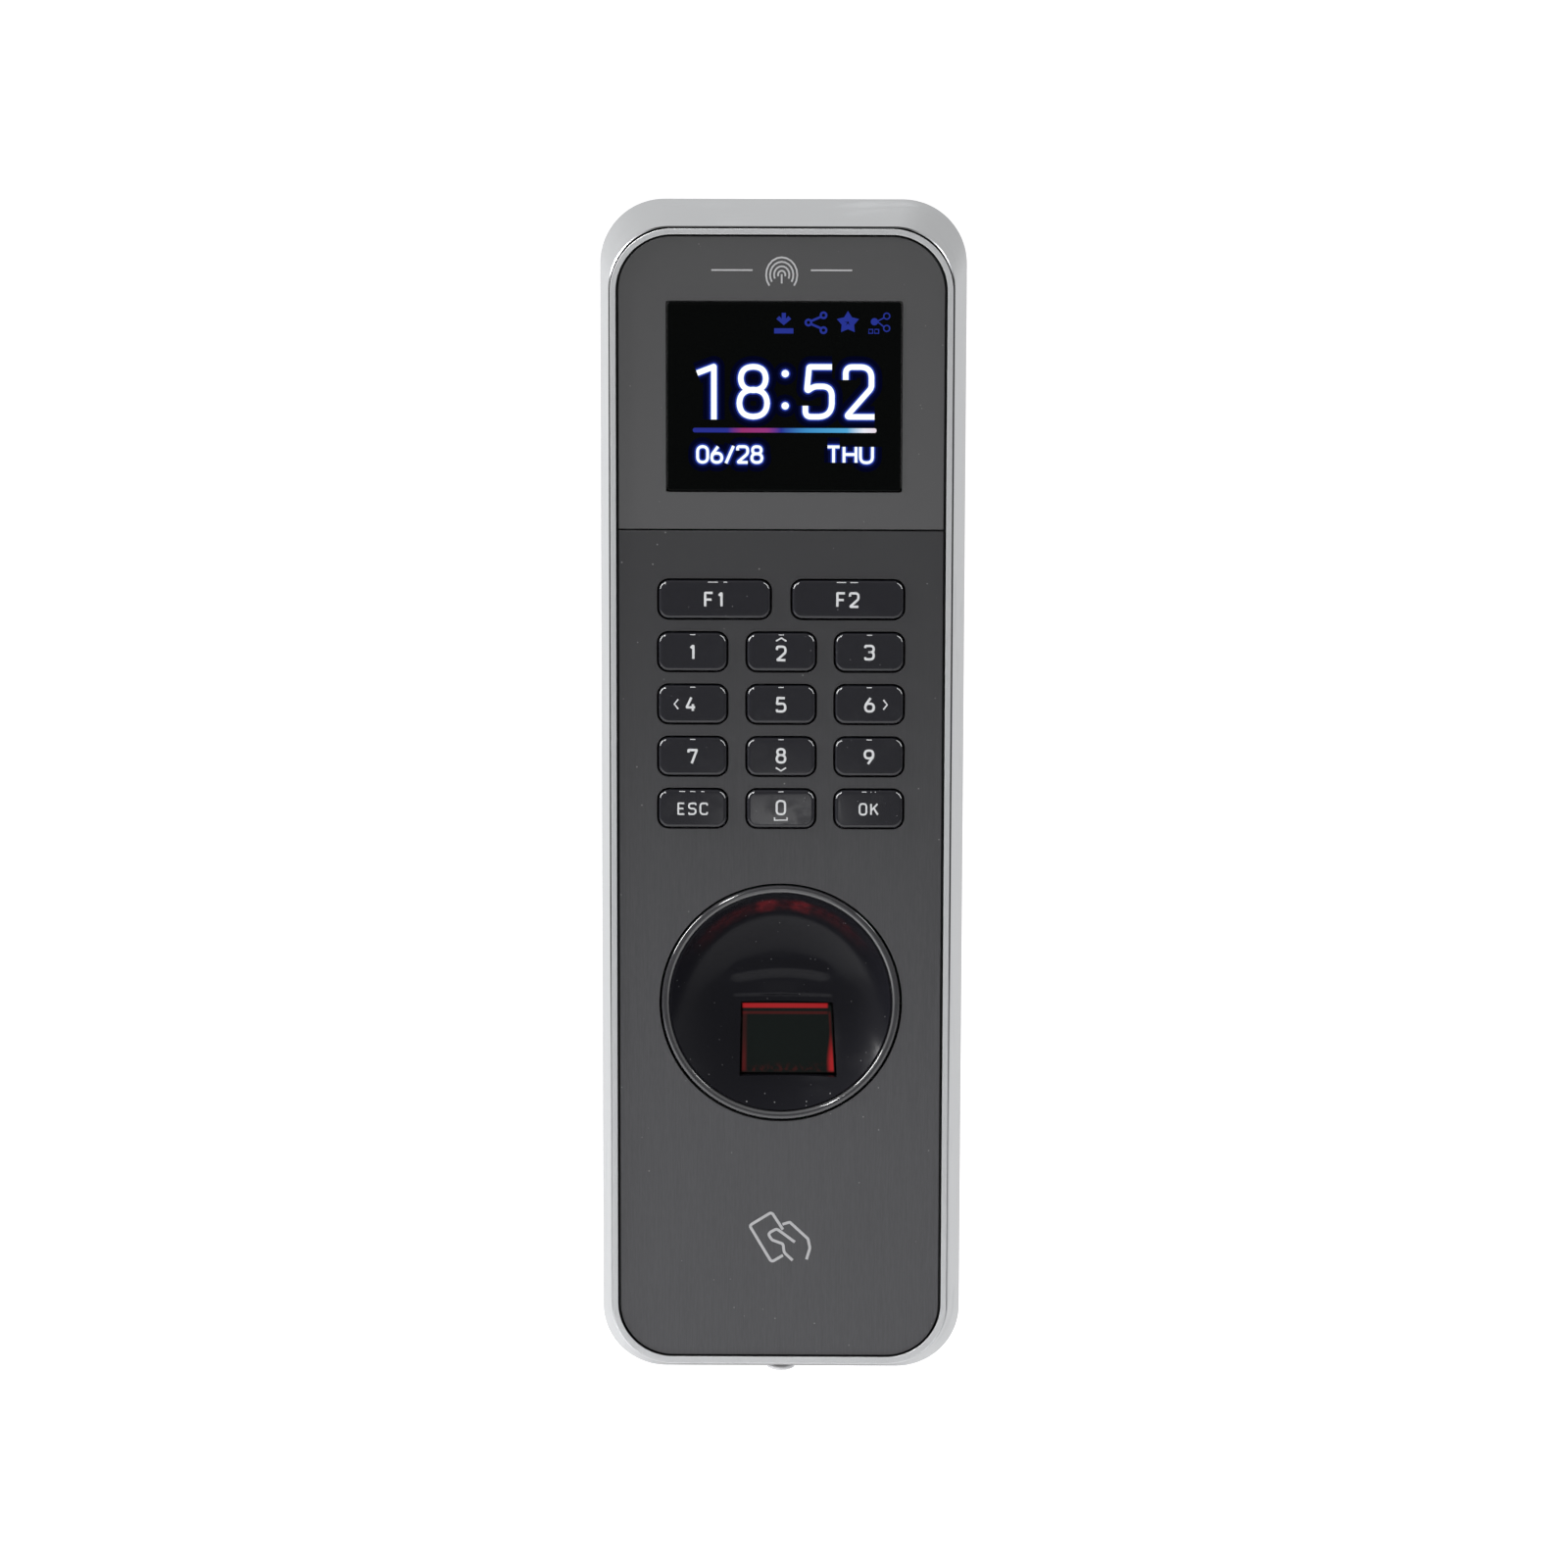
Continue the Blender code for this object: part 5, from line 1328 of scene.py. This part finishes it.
# ------------------------------------------------------------------ display
class TERMINAL_OT_display(PieceOperator, bpy.types.Operator):
    """Display window with its clock, date, rule and status signs"""
    bl_idname = "terminal.display"
    bl_label = "Display"

    def execute(self, context):
        low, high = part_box("display_window")
        box = face_box("display_window", 1.77 * MM)
        window = slab("screen_window", box, low.y, high.y, 0.4 * MM, 0.4 * MM, 4)
        round_edges(window, 0.14 * MM, 3)
        flatten_shading(window)
        dress(window, screen_glass(), TERMINAL, "screen_window", "display_window")

        self.face = low.y
        white = lit("figure_light", (0.92, 0.94, 0.97), 1.0)
        glow = tuple(colours().display)
        halos = ((0.10, 0.004, lit("figure_rim_light", (0.10, 0.30, 0.62), 1.0)),
                 (0.52, 0.008, lit("halo_light", glow, 1.0)),
                 (1.25, 0.012, lit("halo_edge_light", scaled(glow, 0.10), 1.0)),
                 (2.40, 0.016, lit("halo_far_light", scaled(glow, 0.035), 1.0)))
        stroke = 0.84 * MM
        self.lit_strokes("clock_figures", self.clock_strokes(), stroke, white, halos)
        stroke = 0.42 * MM
        date = glyph_strokes("06/28", (-7.81 * MM, 58.47 * MM), 2.81 * MM, stroke, ratio=0.64,
                             gap=0.13, curve=0.5)
        day = glyph_strokes("THU", (10.40 * MM, 58.47 * MM), 2.81 * MM, stroke, ratio=0.76,
                            gap=0.14, curve=0.45)
        self.lit_strokes("date_figures", date + day, stroke, white, halos)

        rule = (-13.41 * MM, 14.40 * MM, 61.80 * MM, 62.50 * MM)
        bar = slab("clock_rule", rule, self.face - 0.03 * MM, self.face - 0.02 * MM, 0.33 * MM,
                   0.33 * MM, 4)
        dress(bar, rule_light(rule), TERMINAL, "screen_window")
        blue = lit("sign_light", (0.0185, 0.030, 0.24), 1.0)
        thick, thin = self.status_signs(78.45 * MM)
        icons = join("status_signs", [
            draw("thick", thick, 0.62 * MM, self.face - 0.01 * MM),
            draw("thin", thin, 0.20 * MM, self.face - 0.01 * MM)])
        dress(icons, blue, TERMINAL, "screen_window")
        return {"FINISHED"}

    @staticmethod
    def clock_strokes():
        """The clock's five characters, each in its own box of x from, x to and corner size."""
        low = 64.22 * MM
        high = 71.76 * MM
        strokes = []
        for character, x0, x1, radius in (("1", -12.75, -10.21, 0.1), ("8", -6.36, -2.16, 2.1),
                                          ("5", 3.62, 7.62, 2.0), ("2", 9.62, 13.60, 2.0)):
            wide = (x1 - x0) * MM
            for kind, points in CLOCK_GLYPHS[character]:
                placed = [(x0 * MM + px * wide, low + pz * (high - low), share)
                          for px, pz, share in points]
                strokes.append((kind == LOOP, rounded_line(placed, kind == LOOP, radius * MM, 8)))
        for z in (70.73, 65.86):
            strokes.append(dot((0.57 * MM, z * MM), 0.14 * MM))
        return strokes

    def lit_strokes(self, name, strokes, width, white, halos):
        layers = [("", width, white, 0.034)]
        for number, (more, lift, material) in enumerate(halos):
            layers.append((f"_halo_{number}", width + more * MM, material, 0.032 - lift))
        for suffix, wide, material, lift in layers:
            figures = draw(name + suffix, strokes, wide, self.face - lift * MM, 0.004 * MM)
            dress(figures, material, TERMINAL, "screen_window")

    @staticmethod
    def status_signs(z):
        """Strokes of four small signs, as (thick ones, thin ones)."""
        x = 0.33 * MM
        thick = [sign(LINE, (x, z), MM, ((0, 1.45, 0), (0, 0.1, 0))),
                 sign(LINE, (x, z), MM, ((-0.9, 0.75, 0), (0, -0.1, 0), (0.9, 0.75, 0)))]
        thin = []
        for height in (-0.98, -1.18, -1.38, -1.56):
            thin.append(sign(LINE, (x, z), MM, ((-1.45, height, 0), (1.45, height, 0))))
        x = 5.2 * MM
        for dx, dz in ((-1.15, 0.0), (1.12, 1.1), (1.12, -1.15)):
            thin.append(dot((x + dx * MM, z + dz * MM), 0.50 * MM))
            thin.append(dot((x + dx * MM, z + dz * MM), 0.36 * MM))
        for dz in (0.08, -0.08):
            thin.append(sign(LINE, (x, z), MM, ((0.7, 0.85 + dz, 0), (-0.7, 0.25 + dz, 0))))
            thin.append(sign(LINE, (x, z), MM, ((0.7, -0.85 + dz, 0), (-0.7, -0.25 + dz, 0))))
        star = []
        for i in range(10):
            radius = 1.45 if i % 2 == 0 else 0.68
            angle = math.pi / 2 + i * math.pi / 5
            star.append((radius * math.cos(angle), radius * math.sin(angle), 0))
        for size in (1.0, 0.62):
            thick.append(sign(LOOP, (10.0 * MM, z), size * MM, star))
        x = 14.9 * MM
        thick.append(dot((x - 0.9 * MM, z + 0.15 * MM), 0.25 * MM))
        for dx, dz in ((0.95, 1.0), (0.95, -0.85)):
            thin.append(dot((x + dx * MM, z + dz * MM), 0.46 * MM))
            thin.append(sign(LINE, (x, z), MM, ((dx - 0.4, dz * 0.75, 0), (-0.5, 0.2, 0))))
        for dx in (-1.75, -0.85):
            thin.append(sign(LOOP, (x, z), MM, ((dx, -1.6, 0), (dx + 0.6, -1.6, 0),
                                                (dx + 0.6, -1.0, 0), (dx, -1.0, 0))))
        return thick, thin


# ------------------------------------------------------------------ printed marks
class TERMINAL_OT_marks(PieceOperator, bpy.types.Operator):
    """Generic fingerprint mark above the display and the card-in-hand sign on the plate"""
    bl_idname = "terminal.marks"
    bl_label = "Printed marks"

    def execute(self, context):
        front = plate_depths()[0]
        self.material = self.silver_print()
        self.fingerprint(front)
        self.card_in_hand(front)
        return {"FINISHED"}

    @staticmethod
    def silver_print():
        f = Finish("silver_print", (0.52, 0.52, 0.53), 0.42, metallic=0.2)
        f.set("Base Color", f.mix(f.noise(2600.0, 2.0), (0.47, 0.47, 0.48), (0.56, 0.56, 0.57)))
        return f.material

    def fingerprint(self, front):
        centre = (0.0, 85.6 * MM)
        strokes = []
        for i, radius in enumerate((0.55, 1.15, 1.75, 2.35)):
            low = -20 - 6 * i
            strokes.append(arc_line(centre, radius * MM, low, 180 - low, 14, 1.12))
        strokes.append(sign(LINE, centre, MM, ((0.0, 0.1, 0), (0.0, -1.3, 0))))
        mark = draw("finger_mark", strokes, 0.26 * MM, front - 0.01 * MM)
        dress(mark, self.material, TERMINAL, "panel_dark")
        rules = [(False, [(side * 4.4 * MM, 86.3 * MM), (side * 10.6 * MM, 86.3 * MM)])
                 for side in (-1, 1)]
        lines = draw("mark_rules", rules, 0.24 * MM, front - 0.01 * MM)
        dress(lines, self.material, TERMINAL, "panel_dark")

    def card_in_hand(self, front):
        centre = (0.0, -63.25 * MM)
        card = ((0.53, -2.89, 0), (-1.24, -3.98, 1), (-4.66, 1.83, 1), (-1.24, 3.97, 1),
                (0.53, 1.21, 0))
        hand = ((0.45, 2.04, 0), (1.58, 2.40, 0.5), (4.42, -0.25, 1.2), (4.72, -1.70, 2),
                (4.19, -3.53, 0))
        thumb = ((2.38, -0.78, 0), (-0.45, 1.34, 1.2), (-1.85, 0.55, 1.2), (-1.15, -0.45, 1.2),
                 (0.55, -1.08, 1), (0.72, -2.45, 2), (2.04, -3.69, 0))
        strokes = [sign(LINE, centre, MM, points, 0.45 * MM) for points in (card, hand, thumb)]
        mark = draw("card_sign", strokes, 0.44 * MM, front - 0.01 * MM)
        dress(mark, self.material, TERMINAL, "brushed_dark")


# ------------------------------------------------------------------ rear and inner pieces
CROSS_ARMS = ((0.55 * MM, 2.2 * MM), (2.2 * MM, 0.55 * MM))
PIN_PITCH = 1.02 * MM
PIN_WIDTH = 0.4 * MM
CLAMP_PITCH = 5.0 * MM
CLAMP_RADIUS = 1.2 * MM


def crossed_screw(node, name, material, axis):
    """Pan-head screw with a cross recess, in place of the plain one."""
    low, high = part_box(node)
    screw = sharpened_copy(node, name, 0.08 * MM)
    middle_point = (low + high) / 2
    head = high.y if axis == "Y" else low.z
    arms = []
    for wide, tall in CROSS_ARMS:
        bpy.ops.object.select_all(action="DESELECT")
        if axis == "Y":
            place = (middle_point.x, head, middle_point.z)
            shape = (wide, 1.5 * MM, tall)
        else:
            place = (middle_point.x, middle_point.y, head)
            shape = (wide, tall, 1.1 * MM)
        bpy.ops.mesh.primitive_cube_add(size=1.0, location=place)
        arm = bpy.context.object
        arm.scale = shape
        bpy.ops.object.transform_apply(location=True, rotation=True, scale=True)
        arms.append(arm)
    for arm in arms:
        cut(screw, arm)
    bpy.ops.object.shade_smooth_by_angle(angle=math.radians(35))
    dress(screw, material, TERMINAL, "screw_steel", node)


class TERMINAL_OT_fixings(PieceOperator, bpy.types.Operator):
    """Cross-recessed screws, the wall bracket and the rear cover"""
    bl_idname = "terminal.fixings"
    bl_label = "Rear fixings"

    def execute(self, context):
        steel = brushed_steel("screw_steel", (0.56, 0.56, 0.57))
        for number in range(1, 7):
            crossed_screw(f"cover_screw_{number}", f"rear_screw_{number}", steel, "Y")
        crossed_screw("bracket_lock_screw", "lock_screw", steel, "Z")
        bracket = sharpened_copy("wall_bracket", "bracket_plate", 0.25 * MM, 3)
        dress(bracket, zinc_plate(), TERMINAL, "zinc_steel", "wall_bracket")
        cover = sharpened_copy("rear_cover", "rear_cover_plate", 0.3 * MM, 3)
        dress(cover, moulded("black_moulding", (0.022, 0.022, 0.024)), TERMINAL,
              "black_plastic", "rear_cover")
        repaint(["frame_screw_top", "frame_screw_bottom", "coin_cell"]
                + [f"board_screw_{number}" for number in range(1, 5)], steel)
        return {"FINISHED"}


class TERMINAL_OT_sockets(PieceOperator, bpy.types.Operator):
    """Network socket with its contacts and the two terminal blocks with their clamps"""
    bl_idname = "terminal.sockets"
    bl_label = "Sockets"

    def execute(self, context):
        steel = brushed_steel("socket_shell", (0.50, 0.50, 0.51), 0.28)
        jack = sharpened_copy("network_socket", "network_jack", 0.2 * MM)
        low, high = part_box("network_socket")
        notch = (low.x + 5.6 * MM, high.x - 5.6 * MM, high.z - 2.6 * MM, high.z - 1.2 * MM)
        cut(jack, slab("cutter", notch, high.y - 8.0 * MM, high.y + MM))
        dress(jack, steel, TERMINAL, "screw_steel", "network_socket")
        gold = brushed_steel("contact_gold", (0.75, 0.52, 0.20), 0.25)
        pins = []
        for number in range(8):
            x = (low.x + high.x) / 2 + (number - 3.5) * PIN_PITCH
            pin = (x - PIN_WIDTH / 2, x + PIN_WIDTH / 2, low.z + 2.6 * MM, low.z + 4.3 * MM)
            pins.append(slab("pin", pin, high.y - 9.0 * MM, high.y - 3.0 * MM))
        contacts = join("network_contacts", pins)
        round_edges(contacts, 0.08 * MM, 2)
        dress(contacts, gold, TERMINAL, "screw_steel")

        green = moulded("terminal_green", (0.02, 0.19, 0.07), 0.45)
        for node, name, ways in (("power_terminal", "power_block", 2),
                                 ("signal_terminal", "signal_block", 3)):
            block = sharpened_copy(node, name, 0.2 * MM)
            low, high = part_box(node)
            clamps = []
            for way in range(ways):
                x = low.x + CLAMP_PITCH * (way + 0.5)
                clamp = rod("clamp", (x, high.z - 2.0 * MM), CLAMP_RADIUS, high.y - 1.25 * MM,
                            high.y - 0.4 * MM, 20)
                slot_box = (x - 1.0 * MM, x + 1.0 * MM, high.z - 2.2 * MM, high.z - 1.8 * MM)
                cut(clamp, slab("cutter", slot_box, high.y - 0.8 * MM, high.y))
                clamps.append(clamp)
            dress(block, green, TERMINAL, "terminal_green", node)
            screws = join(name + "_screws", clamps)
            dress(screws, bpy.data.materials["screw_steel"], TERMINAL, "screw_steel")
        return {"FINISHED"}


class TERMINAL_OT_inner_parts(PieceOperator, bpy.types.Operator):
    """Finishes of the boards, rubbers, ribbons and other inner parts"""
    bl_idname = "terminal.inner_parts"
    bl_label = "Inner parts"

    def execute(self, context):
        repaint(["keypad_board", "card_antenna_board", "main_board", "sensor_board"],
                circuit_board())
        repaint(["display_gasket", "keypad_mat", "rear_seal"],
                moulded("grey_rubber", (0.15, 0.15, 0.15), 0.75))
        repaint(["lcd_module"], brushed_steel("tinned_steel", (0.50, 0.50, 0.50), 0.35))
        repaint(["buzzer", "battery_holder", "tamper_switch", "tamper_plunger", "sensor_module"],
                moulded("inner_moulding", (0.02, 0.02, 0.022), 0.48))
        repaint(["display_cable", "keypad_cable", "sensor_cable"],
                moulded("ribbon_film", (0.70, 0.70, 0.68), 0.5))
        return {"FINISHED"}


# ------------------------------------------------------------------ stage
FLOOR_PLACE = (0.0, 39.0, -0.42)
FLOOR_SIZE = 80.0
LIGHTS = (                    # name, place, (width, height) in metres, watts
    ("left_light", (-0.92, -0.08, 0.45), (0.30, 0.46), 15.0),
    ("right_light", (0.88, -0.10, 0.62), (0.28, 0.28), 2.2),
    ("top_light", (0.0, 0.55, 1.10), (0.50, 0.50), 2.2),
    ("front_light", (-0.62, -1.25, 0.85), (0.20, 0.20), 9.0),
    ("low_light", (-0.011, -1.60, -0.296), (0.046, 0.095), 0.028),
)
WORLD_LEVEL = {"From Min": -0.75, "From Max": 0.35, "To Min": 0.26, "To Max": 0.85}
CAMERA_PLACE = (5.9 * MM, -832.8 * MM, 135.5 * MM)
CAMERA_PITCH = math.radians(9.131)      # looking down
CAMERA_YAW = math.radians(-0.388)
CAMERA_ROLL = math.radians(0.136)
CAMERA_LENS = 120.66                    # millimetres on a 36 mm sensor


class TERMINAL_OT_stage(PieceOperator, bpy.types.Operator):
    """Pale floor, soft lights and the camera"""
    bl_idname = "terminal.stage"
    bl_label = "Stage"

    def execute(self, context):
        bpy.ops.object.select_all(action="DESELECT")
        bpy.ops.mesh.primitive_plane_add(size=FLOOR_SIZE, location=FLOOR_PLACE)
        floor = bpy.context.object
        floor.name = "stage_floor"
        bpy.ops.object.transform_apply(location=True, rotation=False, scale=False)
        floor.data.materials.append(stage_floor())
        self.world()
        for settings in LIGHTS:
            self.light(*settings)
        self.camera()
        context.scene.view_settings.view_transform = "Standard"
        return {"FINISHED"}

    @staticmethod
    def world():
        """Dim in front of the terminal and bright behind it, as a wall-side studio is."""
        world = bpy.data.worlds.new("studio")
        world.use_nodes = True
        tree = world.node_tree
        background = tree.nodes["Background"]
        background.inputs["Color"].default_value = (1.0, 1.0, 1.0, 1.0)
        place = tree.nodes.new("ShaderNodeTexCoord")
        split = tree.nodes.new("ShaderNodeSeparateXYZ")
        tree.links.new(place.outputs["Generated"], split.inputs[0])
        level = tree.nodes.new("ShaderNodeMapRange")
        level.interpolation_type = "SMOOTHSTEP"
        for name, value in WORLD_LEVEL.items():
            level.inputs[name].default_value = value
        tree.links.new(split.outputs["Y"], level.inputs["Value"])
        tree.links.new(level.outputs["Result"], background.inputs["Strength"])
        bpy.context.scene.world = world

    @staticmethod
    def light(name, place, size, power):
        lamp = bpy.data.lights.new(name, "AREA")
        lamp.shape = "RECTANGLE"
        lamp.size, lamp.size_y = size
        lamp.energy = power
        obj = bpy.data.objects.new(name, lamp)
        obj.location = place
        obj.rotation_euler = (-Vector(place)).to_track_quat("-Z", "Y").to_euler()
        bpy.context.scene.collection.objects.link(obj)

    @staticmethod
    def camera():
        level = math.cos(CAMERA_PITCH)
        ahead = Vector((math.sin(CAMERA_YAW) * level, math.cos(CAMERA_YAW) * level,
                        -math.sin(CAMERA_PITCH)))
        right = Vector((math.cos(CAMERA_YAW), -math.sin(CAMERA_YAW), 0.0))
        above = right.cross(ahead)
        turn, lean = math.cos(CAMERA_ROLL), math.sin(CAMERA_ROLL)
        right, above = (right * turn + above * lean, above * turn - right * lean)
        data = bpy.data.cameras.new("camera")
        data.lens = CAMERA_LENS
        data.sensor_width = 36.0
        data.clip_start = 0.01
        obj = bpy.data.objects.new("camera", data)
        axes = Matrix((right, above, -ahead)).transposed()
        obj.matrix_world = Matrix.Translation(CAMERA_PLACE) @ axes.to_4x4()
        bpy.context.scene.collection.objects.link(obj)
        bpy.context.scene.camera = obj


# ------------------------------------------------------------------ panel and running
PIECES = (
    TERMINAL_OT_housing, TERMINAL_OT_ring, TERMINAL_OT_display_panel, TERMINAL_OT_keypad_plate,
    TERMINAL_OT_keys, TERMINAL_OT_legends, TERMINAL_OT_light_ring, TERMINAL_OT_bowl,
    TERMINAL_OT_glass, TERMINAL_OT_display, TERMINAL_OT_marks, TERMINAL_OT_fixings,
    TERMINAL_OT_sockets, TERMINAL_OT_inner_parts, TERMINAL_OT_stage,
)


class TERMINAL_PT_pieces(bpy.types.Panel):
    """Sizes, colours and pieces of the terminal"""
    bl_label = "Fingerprint terminal"
    bl_idname = "TERMINAL_PT_pieces"
    bl_space_type = "VIEW_3D"
    bl_region_type = "UI"
    bl_category = "Terminal"

    def draw(self, context):
        for group in (context.scene.terminal_sizes, context.scene.terminal_colours):
            column = self.layout.column(align=True)
            for name in group.__annotations__:
                column.prop(group, name)
        column = self.layout.column(align=True)
        for piece in PIECES:
            column.operator(piece.bl_idname)


CLASSES = (TerminalSizes, TerminalColours, *PIECES, TERMINAL_PT_pieces)


def register():
    for item in CLASSES:
        bpy.utils.register_class(item)
    bpy.types.Scene.terminal_sizes = bpy.props.PointerProperty(type=TerminalSizes)
    bpy.types.Scene.terminal_colours = bpy.props.PointerProperty(type=TerminalColours)


def unregister():
    del bpy.types.Scene.terminal_colours
    del bpy.types.Scene.terminal_sizes
    for item in reversed(CLASSES):
        bpy.utils.unregister_class(item)


def main():
    register()
    for piece in PIECES:
        group, name = piece.bl_idname.split(".")
        getattr(getattr(bpy.ops, group), name)()


if __name__ == "__main__":
    main()
